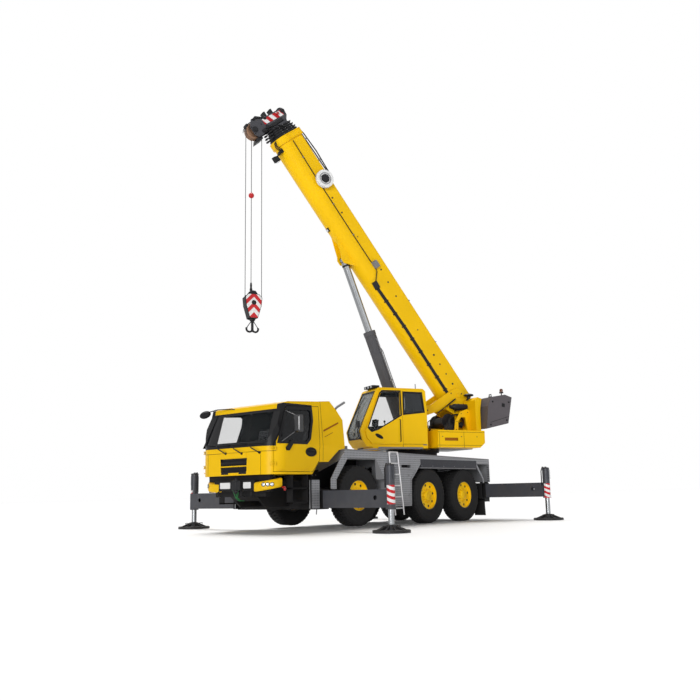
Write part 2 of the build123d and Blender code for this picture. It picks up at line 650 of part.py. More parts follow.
# ---- boom ---------------------------------------------------------------------------
def boom_profile(shrink, grow=0.0):
    """U-shaped box: flat flanks above, round belly below."""
    w = boom_w - shrink + 2 * grow
    h = boom_h - shrink + 2 * grow
    top = Pos(0, (h / 2 - (h - w / 2) / 2)) * Rectangle(w, h - w / 2)
    top = fillet(top.vertices().sort_by(Axis.Y)[-2:], 55 if w > 200 else 10)
    belly = Pos(0, -h / 2 + w / 2) * Circle(w / 2)
    return top + belly


def boom_tube(shrink, s0, s1, wall, grow=0.0):
    section = boom_profile(shrink, grow) - boom_profile(shrink + 2 * wall, -0.0)
    return Pos(s0, 0, 0) * extrude(Plane.YZ * section, amount=s1 - s0)


def boom_base():
    tube = boom_tube(0, base_rear_s, base_front_s, boom_wall)
    tube += boom_tube(0, base_front_s - 190, base_front_s, boom_wall, grow=40)
    tube -= side_plate([(base_rear_s - 1, -500), (base_rear_s - 1, 60), (-60, -250), (160, -500)], -400, 400)
    for side in (-1, 1):
        y0, y1 = sorted((side * (boom_w / 2 - boom_wall - 40), side * boom_w / 2))
        tube += pin_y(0, 0, 150, y0, y1)
        y0, y1 = sorted((side * (rod_r + 12), side * (rod_r + 46)))
        tube += side_plate([(lug_s - 360, -340), (lug_s + 770, -340), (lug_s + 150, lug_t - 60),
                            (lug_s + 60, lug_t - 120), (lug_s - 80, lug_t - 120), (lug_s - 150, lug_t - 40)], y0, y1)
        y0, y1 = sorted((side * (rod_r + 40), side * (rod_r + 62)))
        tube += pin_y(lug_s, lug_t, 70, y0, y1)
    tube -= boom_inside(0, base_rear_s - 1, base_front_s + 1)
    tube -= pin_y(0, 0, pivot_pin_r + FIT, -400, 400)
    tube += pin_y(lug_s, lug_t, eye_pin_r - FIT, -rod_r - 50, rod_r + 50)
    reel_axle = pin_y(7110, 150, 60, boom_w / 2 - 4, boom_w / 2 + 150)
    reel = pin_y(7110, 150, 250, boom_w / 2 + 60, boom_w / 2 + 72)
    reel += pin_y(7110, 150, 250, boom_w / 2 + 128, boom_w / 2 + 140)
    reel += pin_y(7110, 150, 120, boom_w / 2 + 50, boom_w / 2 + 140)
    return tube + reel_axle + reel


def boom_inside(shrink, s0, s1):
    """The room inside a section, for trimming what is welded on its wall."""
    section = boom_profile(shrink + 2 * boom_wall)
    return Pos(s0 + 500, 0, 0) * extrude(Plane.YZ * section, amount=s1 - s0)


def boom_section(i):
    shrink = i * section_step
    rear = section_rear_s + 50 * i
    front = base_front_s + collar_pitch * i
    tube = boom_tube(shrink, rear, front, boom_wall)
    collar = boom_profile(shrink - section_step + 8) - boom_profile(shrink + 2 * boom_wall)
    tube += Pos(front - collar_len, 0, 0) * extrude(Plane.YZ * collar, amount=collar_len)
    top = (boom_h - shrink) / 2
    gap = section_step / 2 - boom_wall
    for y in (-1, 1):
        y0, y1 = sorted((y * 50, y * 150))
        tube += block(rear + 20, rear + 260, y0, y1, top - 1, top + gap - SEAT)
    if i == section_count:
        tube += boom_head(front)
    return tube


def boom_head(front):
    cap = Pos(front, 0, 0) * extrude(Plane.YZ * boom_profile(section_count * section_step - 10), amount=40)
    pin_s, pin_t = head_sheave_s, head_sheave_t
    outline = [(front + 20, 280), (front + 170, 400), (pin_s + 130, 420), (pin_s + 190, 330), (pin_s + 180, -300),
               (pin_s + 300, -490), (pin_s + 290, pin_t + 60), (pin_s + 120, pin_t - 90),
               (pin_s - 120, pin_t - 90), (pin_s - 260, pin_t + 20), (pin_s - 190, -470), (front + 20, -300)]
    pieces = [cap]
    for side in (-1, 1):
        y0, y1 = sorted((side * 150, side * 180))
        pieces.append(side_plate(outline, y0, y1))
    pieces.append(pin_y(pin_s, pin_t, head_pin_r, -190, 190))
    for y in (-70, 0, 70):
        pieces.append(pin_y(pin_s, pin_t, sheave_r - rope_r - SEAT, y - 22, y + 22))
    top_s, top_t = pin_s + 110, 340
    pieces.append(pin_y(top_s, top_t, 40, -190, 190))
    for y in (-70, 0, 70):
        pieces.append(pin_y(top_s, top_t, 130, y - 22, y + 22))
    pieces.append(pin_y(pin_s + 150, -260, 30, -190, 190))
    pieces.append(pin_y(pin_s - 80, -330, 30, -190, 190))
    return fused(pieces)


# ---- luff cylinder, drawn along +x from its foot pin ----------------------------------
lug_x = pivot_x + lug_s * cos_l - lug_t * sin_l
lug_z = pivot_z + lug_s * sin_l + lug_t * cos_l
luff_len = math.hypot(lug_x - foot_x, lug_z - foot_z)
piston_x = barrel_len - 60 - rod_in - piston_len
luff_angle = math.degrees(math.atan2(lug_z - foot_z, lug_x - foot_x))
ram = Pos(foot_x, 0, foot_z) * Rot(0, -luff_angle, 0)


def luff_barrel():
    tube = bar((barrel_neck, 0, 0), (barrel_len, 0, 0), barrel_r)
    tube += bar((100, 0, 0), (barrel_neck + 10, 0, 0), foot_eye_r + 15)
    tube += bar((barrel_len - 110, 0, 0), (barrel_len, 0, 0), barrel_r + 16)
    tube += bar((0, 0, 0), (120, 0, 0), foot_eye_r - 12)
    tube += pin_y(0, 0, foot_eye_r, -foot_half + 25, foot_half - 25)
    tube += pin_y(0, 0, foot_pin_r, -foot_half, foot_half)
    tube -= bar((barrel_neck + 10, 0, 0), (barrel_len + 1, 0, 0), barrel_bore_r)
    tube += bar((barrel_len - 60, 0, 0), (barrel_len, 0, 0), barrel_r) - bar(
        (barrel_len - 61, 0, 0), (barrel_len + 1, 0, 0), rod_r + SEAT)
    return tube


def luff_rod():
    rod = bar((piston_x, 0, 0), (luff_len - rod_eye_r + 20, 0, 0), rod_r)
    rod += bar((piston_x, 0, 0), (piston_x + piston_len, 0, 0), barrel_bore_r - SEAT)
    rod += pin_y(luff_len, 0, rod_eye_r, -eye_half, eye_half)
    return rod - pin_y(luff_len, 0, eye_pin_r, -eye_half - 20, eye_half + 20)


# ---- hook and its ropes -----------------------------------------------------------------
fall_x = pivot_x + head_sheave_s * cos_l - head_sheave_t * sin_l
fall_z = pivot_z + head_sheave_s * sin_l + head_sheave_t * cos_l


def hoist_ropes():
    falls = [bar((fall_x + dx, y, block_top_z - 140), (fall_x + dx, y, fall_z), rope_r)
             for dx, y in ((sheave_r, 70), (-sheave_r, 70))]
    loop = Pos(fall_x, 70, fall_z) * Rot(90, 0, 0) * Torus(sheave_r, rope_r)
    loop -= block(fall_x - 300, fall_x + 300, 0, 140, fall_z - 300, fall_z)
    falls = [fused([falls[0], falls[1], loop])]
    falls.append(bar((fall_x, -111, block_top_z + 300), (fall_x, -111, fall_z - head_pin_r - SEAT), rope_r))
    return falls


def hook_block():
    plates = []
    z1, z0 = block_top_z, block_top_z - 640
    for side in (-1, 1):
        y0, y1 = sorted((side * 96, side * 120))
        plates.append(side_plate([(fall_x - 230, z1 - 90), (fall_x - 150, z1), (fall_x + 150, z1),
                                  (fall_x + 230, z1 - 90), (fall_x + 210, z1 - 300), (fall_x + 110, z0),
                                  (fall_x - 110, z0), (fall_x - 210, z1 - 300)], y0, y1)
                      - pin_y(fall_x - 150, z1 - 330, 34, y0 - 1, y1 + 1)
                      - pin_y(fall_x + 150, z1 - 330, 34, y0 - 1, y1 + 1))
    sheave = pin_y(fall_x, z1 - 230, sheave_r - rope_r - SEAT, 50, 90)
    sheave += pin_y(fall_x, z1 - 230, 45, -130, 130)
    trunnion = block(fall_x - 70, fall_x + 70, -120, 120, z0 - 10, z0 + 110)
    socket = bar((fall_x, -108, z1 - 40), (fall_x, -108, z1 + 300), 26)
    eye_z = hook_bottom_z + hook_ring_r + hook_stock_r
    neck = bar((fall_x, 0, eye_z - hook_ring_r), (fall_x, 0, z0 + 10), 34)
    horns = []
    for side in (-1, 1):
        centre = fall_x + side * hook_ring_r
        ring = Pos(centre, 0, eye_z) * Rot(90, 0, 0) * Torus(hook_ring_r, hook_stock_r)
        ring -= block(fall_x - 400, fall_x + 400, -60, 60, eye_z + 30, eye_z + 400)
        tip_x = centre + side * (hook_ring_r - 2)
        latch = bar((tip_x, 0, eye_z + 15), (fall_x + side * 20, 0, eye_z + 215), 10)
        horns += [ring, latch]
    return fused(plates + [sheave, trunnion, socket, neck] + horns)


# ---- write every node ------------------------------------------------------------------------
write("chassis_frame", chassis_frame())
write("deck_and_guards", deck_and_guards())
write("axle_beams", axle_beams())
write("power_unit", block(2900, 4150, -400, 400, rail_top_z + SEAT, 1680))
shell, doors, panes, glass = carrier_cab_pieces()
write("carrier_cab", shell)
write("carrier_cab_glass", glass)
write("carrier_cab_interior", cab_interior())
write("cab_seats", cab_seats())
write("front_bumper", front_bumper())
write("cab_mirrors", front_mirror())
write("door_mirror_left", door_mirror())
for side, name in ((-1, "right"), (1, "left")):
    write(f"cab_door_{name}", doors[(side + 1) // 2])
    write(f"cab_door_glass_{name}", panes[(side + 1) // 2])
for number, x, z, _ in axle_rows:
    for side, name in ((-1, "right"), (1, "left")):
        write(f"knuckle_{number}_{name}", knuckle(x, z, side))
        write(f"rim_{number}_{name}", rim(x, z, side))
        write(f"tyre_{number}_{name}", tyre(x, z, side))
outrigger_rows = [
    ("front", front_jack_x, front_beam_z, front_jack_stroke),
    ("rear", rear_jack_x, rear_beam_z, rear_jack_stroke),
]
for end, x, beam_z, stroke in outrigger_rows:
    for side, name in ((-1, "right"), (1, "left")):
        write(f"outrigger_beam_{end}_{name}", outrigger_beam(x, beam_z, side))
        write(f"outrigger_jack_{end}_{name}", jack_leg(x, side, stroke))
write("superstructure_frame", superstructure_frame(), turn)
write("counterweight", counterweight(), turn)
write("hoist_winch", hoist_winch(), turn)
op_shell, op_glass, op_door, op_pane, op_seat = operator_cab_pieces()
write("operator_cab", op_shell, turn)
write("operator_cab_glass", op_glass, turn)
write("operator_seat", op_seat, turn)
write("operator_door", op_door, turn)
write("operator_door_glass", op_pane, turn)
write("boom_base", boom_base(), turn * luff)
for i in range(1, section_count + 1):
    write(f"boom_section_{i}", boom_section(i), turn * luff)
write("luff_barrel", luff_barrel(), turn * ram)
write("luff_rod", luff_rod(), turn * ram)
write("hoist_ropes", hoist_ropes(), turn)
write("hook_block", hook_block(), turn)
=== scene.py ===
import bpy, bmesh, json, math
from mathutils import Vector, Matrix


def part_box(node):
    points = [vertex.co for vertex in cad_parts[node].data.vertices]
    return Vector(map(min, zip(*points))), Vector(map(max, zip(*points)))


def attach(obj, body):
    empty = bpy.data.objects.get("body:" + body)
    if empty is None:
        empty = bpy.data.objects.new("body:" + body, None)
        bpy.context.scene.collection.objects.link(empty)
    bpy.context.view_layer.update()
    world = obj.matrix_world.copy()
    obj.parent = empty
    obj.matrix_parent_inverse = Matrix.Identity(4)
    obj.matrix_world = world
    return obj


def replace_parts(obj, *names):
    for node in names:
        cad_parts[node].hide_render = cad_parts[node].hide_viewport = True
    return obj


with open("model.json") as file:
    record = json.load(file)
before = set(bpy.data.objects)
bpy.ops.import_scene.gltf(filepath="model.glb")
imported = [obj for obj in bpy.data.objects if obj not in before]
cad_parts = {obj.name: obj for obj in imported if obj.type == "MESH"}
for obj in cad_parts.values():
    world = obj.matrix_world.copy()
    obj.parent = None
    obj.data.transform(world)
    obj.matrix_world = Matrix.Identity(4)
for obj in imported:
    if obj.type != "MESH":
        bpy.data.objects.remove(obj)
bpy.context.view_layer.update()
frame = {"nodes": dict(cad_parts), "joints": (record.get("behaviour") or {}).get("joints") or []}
print("frame loaded:", len(frame["nodes"]), "nodes")

joints = {j["name"]: j for j in frame["joints"]}
slewAxis = Vector(joints["slew"]["pos_m"])
superX = -Vector(joints["operator_door"]["axis"])
superY = Vector((-superX.y, superX.x, 0))
boomPivot = Vector(joints["luff"]["pos_m"])
boomS = Vector(joints["telescope_1"]["axis"])
boomT = boomS.cross(superY)
up = Vector((0, 0, 1))
ramOut = -Vector(joints["luff_barrel_slide"]["axis"])
ramEye = Vector(joints["luff_rod_eye"]["pos_m"])
fallPivot = Vector(joints["fall_swing"]["pos_m"])


def plain(x, y, z):  # the frame's own axes
    return Vector((x, y, z))


def veh(x, y, z):  # carrier: x ahead of the slewing axis, y left, z above the ground
    return Vector((x + slewAxis.x, y, z))


def sup(x, y, z):  # superstructure, turned with the boom
    return Vector((slewAxis.x, 0, 0)) + superX * x + superY * y + up * z


def boom(s, y, t):  # boom: s out from its pivot, t above its middle
    return boomPivot + boomS * s + superY * y + boomT * t


def ram(s, y, t):  # luffing cylinder, s back from the rod's eye
    return ramEye - ramOut * s + superY * y + ramOut.cross(superY) * t


def fall(x, y, z):  # under the head sheaves
    return fallPivot + superX * x + superY * y + up * z


boomTrim = {"side": 0.3175, "top": 0.3985, "reel": (7.11, 0.15)}
headTrim = {"sheave": (9.2, -0.7), "keeper": 0.245}
camera = {"place": (18.023, 13.210, 0.799), "yaw": 220.507, "pitch": 10.915, "roll": -1.154,
          "lens": 800 / 700 * 36, "shiftX": -0.0005, "shiftY": -0.0163}
lens = bpy.data.cameras.new("camera")
lens.lens, lens.sensor_width = camera["lens"], 36
lens.shift_x, lens.shift_y, lens.clip_end = camera["shiftX"], camera["shiftY"], 300
eye = bpy.data.objects.new("camera", lens)
yaw, pitch = math.radians(camera["yaw"]), math.radians(camera["pitch"])
look = Vector((math.cos(yaw) * math.cos(pitch), math.sin(yaw) * math.cos(pitch), math.sin(pitch)))
aim = look.to_track_quat("-Z", "Y").to_matrix().to_4x4()
eye.matrix_world = (Matrix.Translation(veh(*camera["place"])) @ aim
                    @ Matrix.Rotation(math.radians(camera["roll"]), 4, "Z"))
bpy.context.scene.collection.objects.link(eye)
bpy.context.scene.camera = eye
bpy.context.scene.view_settings.view_transform = "Standard"


class Channel:  # a socket that takes part in sums
    def __init__(self, kit, socket):
        self.kit, self.socket = kit, socket

    def sum(self, operation, *others):
        return self.kit.node("ShaderNodeMath", {"operation": operation}, *others).first()

    def size(self):
        return self.sum("ABSOLUTE", self)

    def most(self, other):
        return self.sum("MAXIMUM", self, other)

    def wrap(self, step):
        return self.sum("WRAP", self, step, 0.0)


def operator(operation, swapped=False):
    def applied(self, other):
        return self.sum(operation, *((other, self) if swapped else (self, other)))
    return applied


for sign, operation in (("add", "ADD"), ("sub", "SUBTRACT"), ("mul", "MULTIPLY"), ("truediv", "DIVIDE")):
    setattr(Channel, f"__{sign}__", operator(operation))
    setattr(Channel, f"__r{sign}__", operator(operation, True))
Channel.__gt__, Channel.__lt__ = operator("GREATER_THAN"), operator("LESS_THAN")


class Made:  # a finished node
    def __init__(self, kit, node):
        self.kit, self.node = kit, node

    def out(self, key):
        return Channel(self.kit, self.node.outputs[key])

    def first(self):
        return self.out(0)


class Tree:  # a node tree and the one way of adding to it
    def __init__(self, tree):
        self.tree = tree

    def node(self, kind, settings=None, *values, **named):
        node = self.tree.nodes.new(kind)
        for key, value in (settings or {}).items():
            setattr(node, key, value)
        for key, value in [*enumerate(values), *named.items()]:
            socket = node.inputs[key if isinstance(key, int) else key.replace("_", " ")]
            if isinstance(value, Channel):
                self.tree.links.new(value.socket, socket)
            else:
                socket.default_value = value
        return Made(self, node)


class Finish(Tree):  # one material on a Principled shader
    def __init__(self, name, color, roughness=0.5, metallic=0.0, coat=0.0, alpha=1.0, gleam=0.3):
        self.material = bpy.data.materials.new(name)
        self.material.use_nodes = True
        super().__init__(self.material.node_tree)
        self.shader = self.tree.nodes["Principled BSDF"]
        self.color = color
        for key, value in (("Base Color", (*color, 1)), ("Roughness", roughness), ("Metallic", metallic),
                           ("Coat Weight", coat), ("Alpha", alpha)):
            self.shader.inputs[key].default_value = value
        self.shader.inputs["Coat Roughness"].default_value = 0.1
        self.shader.inputs["Specular IOR Level"].default_value = gleam
        self.shape = None

    def place(self):
        return self.node("ShaderNodeTexCoord").out("Object")

    def vector(self, operation, *values):
        return self.node("ShaderNodeVectorMath", {"operation": operation}, *values)

    def along(self, origin, direction):  # metres along a direction from a point
        moved = self.vector("SUBTRACT", self.place(), tuple(origin)).first()
        return self.vector("DOT_PRODUCT", moved, tuple(direction)).out("Value")

    def axes(self, at):  # the three coordinates of a frame
        zero = at(0, 0, 0)
        return [self.along(zero, at(*way) - zero) for way in ((1, 0, 0), (0, 1, 0), (0, 0, 1))]

    def noise(self, scale, detail=3.0, vector=None):
        return self.node("ShaderNodeTexNoise", {}, Vector=vector or self.place(), Scale=scale,
                         Detail=detail).out(0)

    def blend(self, mask, a, b):
        made = self.node("ShaderNodeMix", {"data_type": "RGBA"})
        for i, value in ((0, mask), (6, a), (7, b)):
            if isinstance(value, Channel):
                self.tree.links.new(value.socket, made.node.inputs[i])
            else:
                made.node.inputs[i].default_value = value if i == 0 else (*value, 1)
        return made.out(2)

    def skin(self):
        socket = self.shader.inputs["Base Color"]
        return Channel(self, socket.links[0].from_socket) if socket.is_linked else self.color

    def over(self, mask, color):  # another colour where the mask is one
        return self.set("Base Color", self.blend(mask, self.skin(), color))

    def set(self, key, value):
        self.tree.links.new(value.socket, self.shader.inputs[key])
        return self

    def relief(self, height, strength=0.3, distance=0.01):
        extra = {"Normal": self.shape} if self.shape else {}
        self.shape = self.node("ShaderNodeBump", {}, Strength=strength, Distance=distance, Height=height,
                               **extra).first()
        return self.set("Normal", self.shape)

    def inside(self, centre, color):  # faces that look towards the middle of a hollow body
        normal = self.node("ShaderNodeNewGeometry").out("Normal")
        away = self.vector("SUBTRACT", self.place(), tuple(centre)).first()
        facing = self.vector("DOT_PRODUCT", normal, away).out("Value")
        return self.over(facing < 0, color)

    def soften(self, radius):
        self.shape = self.node("ShaderNodeBevel", {"samples": 4}, Radius=radius).first()
        return self.set("Normal", self.shape)


def within(value, low, high):
    return (value > low) * (value < high)


def weathered(finish, spread=0.10, scale=1.3, dust=0.22, dustTop=1.2):  # uneven tone, road dust low down
    tone = finish.noise(scale, 4.0) * (2 * spread) + (1 - spread)
    grey = finish.node("ShaderNodeCombineColor", {}, tone, tone, tone).first()
    dark = finish.node("ShaderNodeMix", {"data_type": "RGBA", "blend_type": "MULTIPLY"})
    dark.node.inputs[0].default_value = 1
    dark.node.inputs[6].default_value = (*finish.color, 1)
    finish.tree.links.new(grey.socket, dark.node.inputs[7])
    height = finish.along((0, 0, 0), up)
    low = finish.node("ShaderNodeMapRange", {}, height, 0.0, dustTop, 1.0, 0.0).first()
    film = low * finish.noise(7, 5.0) * dust
    finish.set("Base Color", finish.blend(film, dark.out(2), (0.30, 0.27, 0.23)))
    base = finish.shader.inputs["Roughness"].default_value
    finish.set("Roughness", finish.noise(9, 3.0) * 0.14 + (base - 0.07) + film * 0.4)
    return finish


def paint(name, color, roughness=0.3, coat=0.5, radius=0.006, gleam=0.12, **wear):
    finish = weathered(Finish(name, color, roughness, 0, coat, gleam=gleam), **wear)
    if radius:
        finish.soften(radius)
    finish.relief(finish.noise(260, 2.0), 0.04, 0.001)  # orange peel
    return finish


paints = {"yellow": (0.86, 0.515, 0.002), "beamGrey": (0.056, 0.059, 0.071),
          "weightGrey": (0.100, 0.090, 0.098), "plateGrey": (0.27, 0.275, 0.29),
          "black": (0.009, 0.009, 0.010), "white": (0.78, 0.78, 0.78), "red": (0.52, 0.016, 0.022),
          "steel": (0.20, 0.20, 0.21), "copper": (0.27, 0.155, 0.095), "darkGrey": (0.018, 0.018, 0.020),
          "rubber": (0.016, 0.016, 0.017), "green": (0.03, 0.16, 0.05), "lining": (0.015, 0.015, 0.017),
          "rod": (0.27, 0.28, 0.29)}


def yellowCoat(name, dust=0.0):
    return paint(name, paints["yellow"], 0.34, 0.02, dust=dust)


yellowPaint = yellowCoat("yellowPaint", 0.12).material
weightPaint = paint("weightPaint", paints["weightGrey"], 0.45, 0.1, dust=0.0).material
whitePaint = paint("whitePaint", paints["white"], 0.4, 0.2, dust=0.1).material
redPaint = paint("redPaint", paints["red"], 0.35, 0.3, dust=0.05).material
castSteel = paint("castSteel", (0.014, 0.014, 0.016), 0.5, 0.0, gleam=0.18, dust=0.08).material
greyMetal = paint("greyMetal", paints["steel"], 0.42, 0.0, 0.003).material
# painted shade: darker orange standing for the shade inside recessed vent slots
ventPaint = paint("ventPaint", (0.30, 0.085, 0.004), 0.5, 0.0).material
copperSteel = weathered(Finish("copperSteel", paints["copper"], 0.4, 0.6), dust=0).material
tailLamp = Finish("tailLamp", (0.35, 0.01, 0.01), 0.18, 0, 0.3)
tailLamp = tailLamp.relief(tailLamp.noise(420, 1.0), 0.4, 0.002).material
amberLamp = Finish("amberLamp", (0.12, 0.028, 0.003), 0.15, 0, 0.3)
amberLamp = amberLamp.relief(amberLamp.along((0, 0, 0), up).wrap(0.012) * 60, 0.4, 0.002).material
lampGlass = Finish("lampGlass", (0.55, 0.57, 0.60), 0.08, 0.7, 0.8)
lampGlass = lampGlass.relief(lampGlass.noise(160, 1.0), 0.5, 0.003).material


def grained(name, color, roughness, scale, strength, gleam=0.15):
    finish = Finish(name, color, roughness, gleam=gleam)
    finish.set("Roughness", finish.noise(12, 4.0) * 0.2 + (roughness - 0.1))
    return finish.relief(finish.noise(scale, 2.0), strength, 0.001)


blackPlastic = grained("blackPlastic", paints["black"], 0.5, 300, 0.15).material
glossBlack = grained("glossBlack", (0.012, 0.012, 0.014), 0.22, 60, 0.02, 0.6).material
hoseRubber = grained("hoseRubber", (0.010, 0.010, 0.011), 0.42, 180, 0.1).material
greenHose = grained("greenHose", paints["green"], 0.35, 180, 0.1).material
mirrorFace = grained("mirrorFace", (0.5, 0.52, 0.55), 0.12, 60, 0.02, 0.5)
mirrorFace.shader.inputs["Metallic"].default_value = 1
mirrorFace = mirrorFace.material
chrome = Finish("chrome", paints["rod"], 0.20, 1.0)
chrome.relief(chrome.noise(140, 2.0), 0.02, 0.001)
chrome = chrome.material


def tyreFinish():  # uneven road grime
    finish = grained("tyreRubber", paints["rubber"], 0.78, 150, 0.12)
    return finish.over(finish.noise(5, 5.0) * 0.5, (0.020, 0.019, 0.018)).material


tyreRubber = tyreFinish()


def glassFinish(name, tint, alpha):
    pane = Finish(name, tint, 0.04, 0.0, 0.0, alpha, 0.2)
    pane.relief(pane.noise(0.8, 1.0), 0.01, 0.01)
    pane.material.surface_render_method = "BLENDED"
    return pane


darkGlass = glassFinish("darkGlass", (0.005, 0.006, 0.008), 0.90).material
clearGlass = glassFinish("clearGlass", (0.05, 0.06, 0.065), 0.10).material


def operatorGlassFinish():  # pale front panes, their pale colour painted light for the bright backdrop seen through them; dark rear pane beside the door, painted shade of the cab's inside; clear far side
    pane = glassFinish("operatorGlass", (0.03, 0.035, 0.04), 0.10)
    x, y, z = pane.axes(sup)
    ahead, beside = x + z * 0.466 > 3.02, (y > 1.15) * (x < 1.05)
    # painted light: the front panes get a pale colour for the brightness seen through them
    pane.over(ahead, (0.80, 0.85, 0.84))
    # the denser dark rear pane beside the door is painted shade of the cab's inside
    return pane.set("Alpha", ahead * 0.12 + beside * 0.50 + 0.08).material


operatorGlass = operatorGlassFinish()


def seamsAcross(finish, coordinate, places, mask, color=(0.06, 0.03, 0.002), width=0.005):  # dark joint lines
    for at in places:
        finish.over(within(coordinate, at - width, at + width) * mask, color)


def cabFinish():  # yellow outside, dark trim inside, black windscreen posts
    finish = yellowCoat("cabPaint", 0.10)
    x, y, z = finish.axes(veh)
    posts = (x + z * 0.4236 - 7.129 > 0.0) * within(z, 1.862, 2.590)  # ahead of the doors' front edge
    overDoors = (y.size() > 1.00) * within(z, 2.585, 2.715) * within(x, 5.20, 6.30)
    finish.over(posts, paints["black"]).over(overDoors, paints["black"])
    front = (x > 6.1) * (y.size() < 1.13)
    seamsAcross(finish, y.size(), (0.845,), front * (z < 1.69))
    seamsAcross(finish, z, (1.69,), front)
    finish.over(front * within(z, 1.795, 1.90), paints["black"])
    seamsAcross(finish, x * 0.98 + z * 0.04, (4.93,), (x < 5.2) * (z > 1.5))
    finish.inside(veh(5.45, 0, 2.0), paints["lining"])
    grille = (x > 6.46) * (y.size() < 0.430 - (1.60 - z) * 0.08) * within(z, 1.235, 1.565)
    finish.over(grille, paints["black"])
    return finish.material


def opCabFinish():
    finish = yellowCoat("operatorCabPaint")
    x, y, z = finish.axes(sup)
    seamsAcross(finish, x, (1.02,), (y > 1.22) * (z < 2.72))
    seamsAcross(finish, z, (2.005,), (y > 1.22) * within(x, 0.33, 1.02))
    finish.inside(sup(1.15, 0.83, 2.7), paints["lining"])
    return finish.material


def bodyFinish():  # superstructure: joint lines on the side boxes, painted shade in a recess on each side
    finish = yellowCoat("superstructurePaint")
    x, y, z = finish.axes(sup)
    side = y.size() > 1.21
    recessShade = within(x, -0.74, -0.22) * within(y.size(), 1.16, 1.212) * within(z, 2.03, 2.28)
    # painted shade: darker orange inside the recess
    finish.over(recessShade, (0.33, 0.11, 0.003))
    seamsAcross(finish, x, (-0.10, -0.88), side * (z < 2.34))
    seamsAcross(finish, z, (2.34, 1.99), side)
    finish.over((z < 1.93) * (y.size() < 0.7), paints["darkGrey"])
    return finish.material


def sectionFinish():  # extending sections: dark collars and head, copper rope sheaves
    finish = yellowCoat("sectionPaint")
    s, y, t = finish.axes(boom)
    finish.over(s > 8.67, (0.012, 0.012, 0.014))
    finish.over((s > 8.98) * (y.size() > 0.13), (0.060, 0.060, 0.068))
    a, b = s - headTrim["sheave"][0], t - headTrim["sheave"][1]
    wheel = (a * a + b * b < 0.2165 * 0.2165) * (y.size() < 0.096)
    finish.over(wheel * (s > 8.9), paints["copper"])
    return finish.material


def beamFinish():
    finish = paint("beamPaint", paints["beamGrey"], 0.42, 0.15)
    x, y, z = finish.axes(veh)
    out = y.size()
    leg = (out > 3.09) * within(z, 0.56, 0.94)
    marks = (z + out * 0.5).wrap(0.125) < 0.062
    finish.over(leg * marks, paints["red"])
    finish.over(leg * (1 - marks), paints["white"])
    return finish.material


def jackFinish():  # bright rod above a dark float
    finish = Finish("jackSteel", paints["rod"], 0.20, 1.0)
    x, y, z = finish.axes(veh)
    low = z < 0.165
    finish.over(low, (0.020, 0.020, 0.022))
    finish.set("Metallic", 1 - low)
    finish.set("Roughness", low * 0.35 + 0.18)
    return finish.relief(finish.noise(140, 2.0), 0.03, 0.001).material


def rimFinish():  # yellow dish painted lighter than the body's yellow as painted light against the shade low down, dark inner side, painted shade ring round the dish's outer edge
    # the rim's yellow is lighter than the body's: painted light that makes up for the shade on the low faces
    finish = paint("rimPaint", (0.95, 0.60, 0.004), 0.35, 0.05, dust=0.10)
    x, y, z = finish.axes(veh)
    finish.over(y.size() < 1.03, paints["darkGrey"])
    for n in "123":
        low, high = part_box(f"tyre_{n}_left")
        a, b = x - ((low[0] + high[0]) / 2 - slewAxis.x), z - (low[2] + high[2]) / 2
        # painted shade: a dark ring round the outer edge of the deep dish
        finish.over(within(a * a + b * b, 0.336 ** 2, 0.2), paints["darkGrey"])
    return finish.material


def baseFinish():  # boom base: the cable reel on its left wall is white round a black hub
    finish = yellowCoat("boomPaint")
    s, y, t = finish.axes(boom)
    a, b = s - boomTrim["reel"][0], t - boomTrim["reel"][1]
    reach = a * a + b * b
    outer = (y > 0.370) * (reach < 0.27 * 0.27)
    finish.over(outer, paints["white"])
    finish.over(outer * (reach < 0.125 * 0.125), paints["black"])
    return finish.material


cabPaint, opCabPaint, bodyPaint = cabFinish(), opCabFinish(), bodyFinish()
jackSteel, rimPaint, boomPaint = jackFinish(), rimFinish(), baseFinish()
sectionPaint, beamPaint = sectionFinish(), beamFinish()
barrelPaint = paint("barrelPaint", (0.085, 0.085, 0.092), 0.45, 0.1, dust=0.0).material
framePaint = paint("framePaint", (0.010, 0.010, 0.011), 0.6, 0.0, gleam=0.12, dust=0.06).material


def chevronFinish():  # slanting red and white warning bands, an upturned V
    finish = paint("chevronPaint", paints["red"], 0.35, 0.2, dust=0.0)
    x, y, z = finish.axes(fall)
    bands = (z + x.size() * 1.05 + 20.0).wrap(0.27) > 0.135
    finish.over(bands, paints["white"])
    return finish.material


def stripeFinish():  # red and white blocks along a bar
    finish = paint("stripePaint", (0.42, 0.012, 0.016), 0.4, 0.05, dust=0.0)
    s, y, t = finish.axes(boom)
    finish.over((t + s * 0.45 + 3.0).wrap(0.24) > 0.12, paints["white"])
    return finish.material


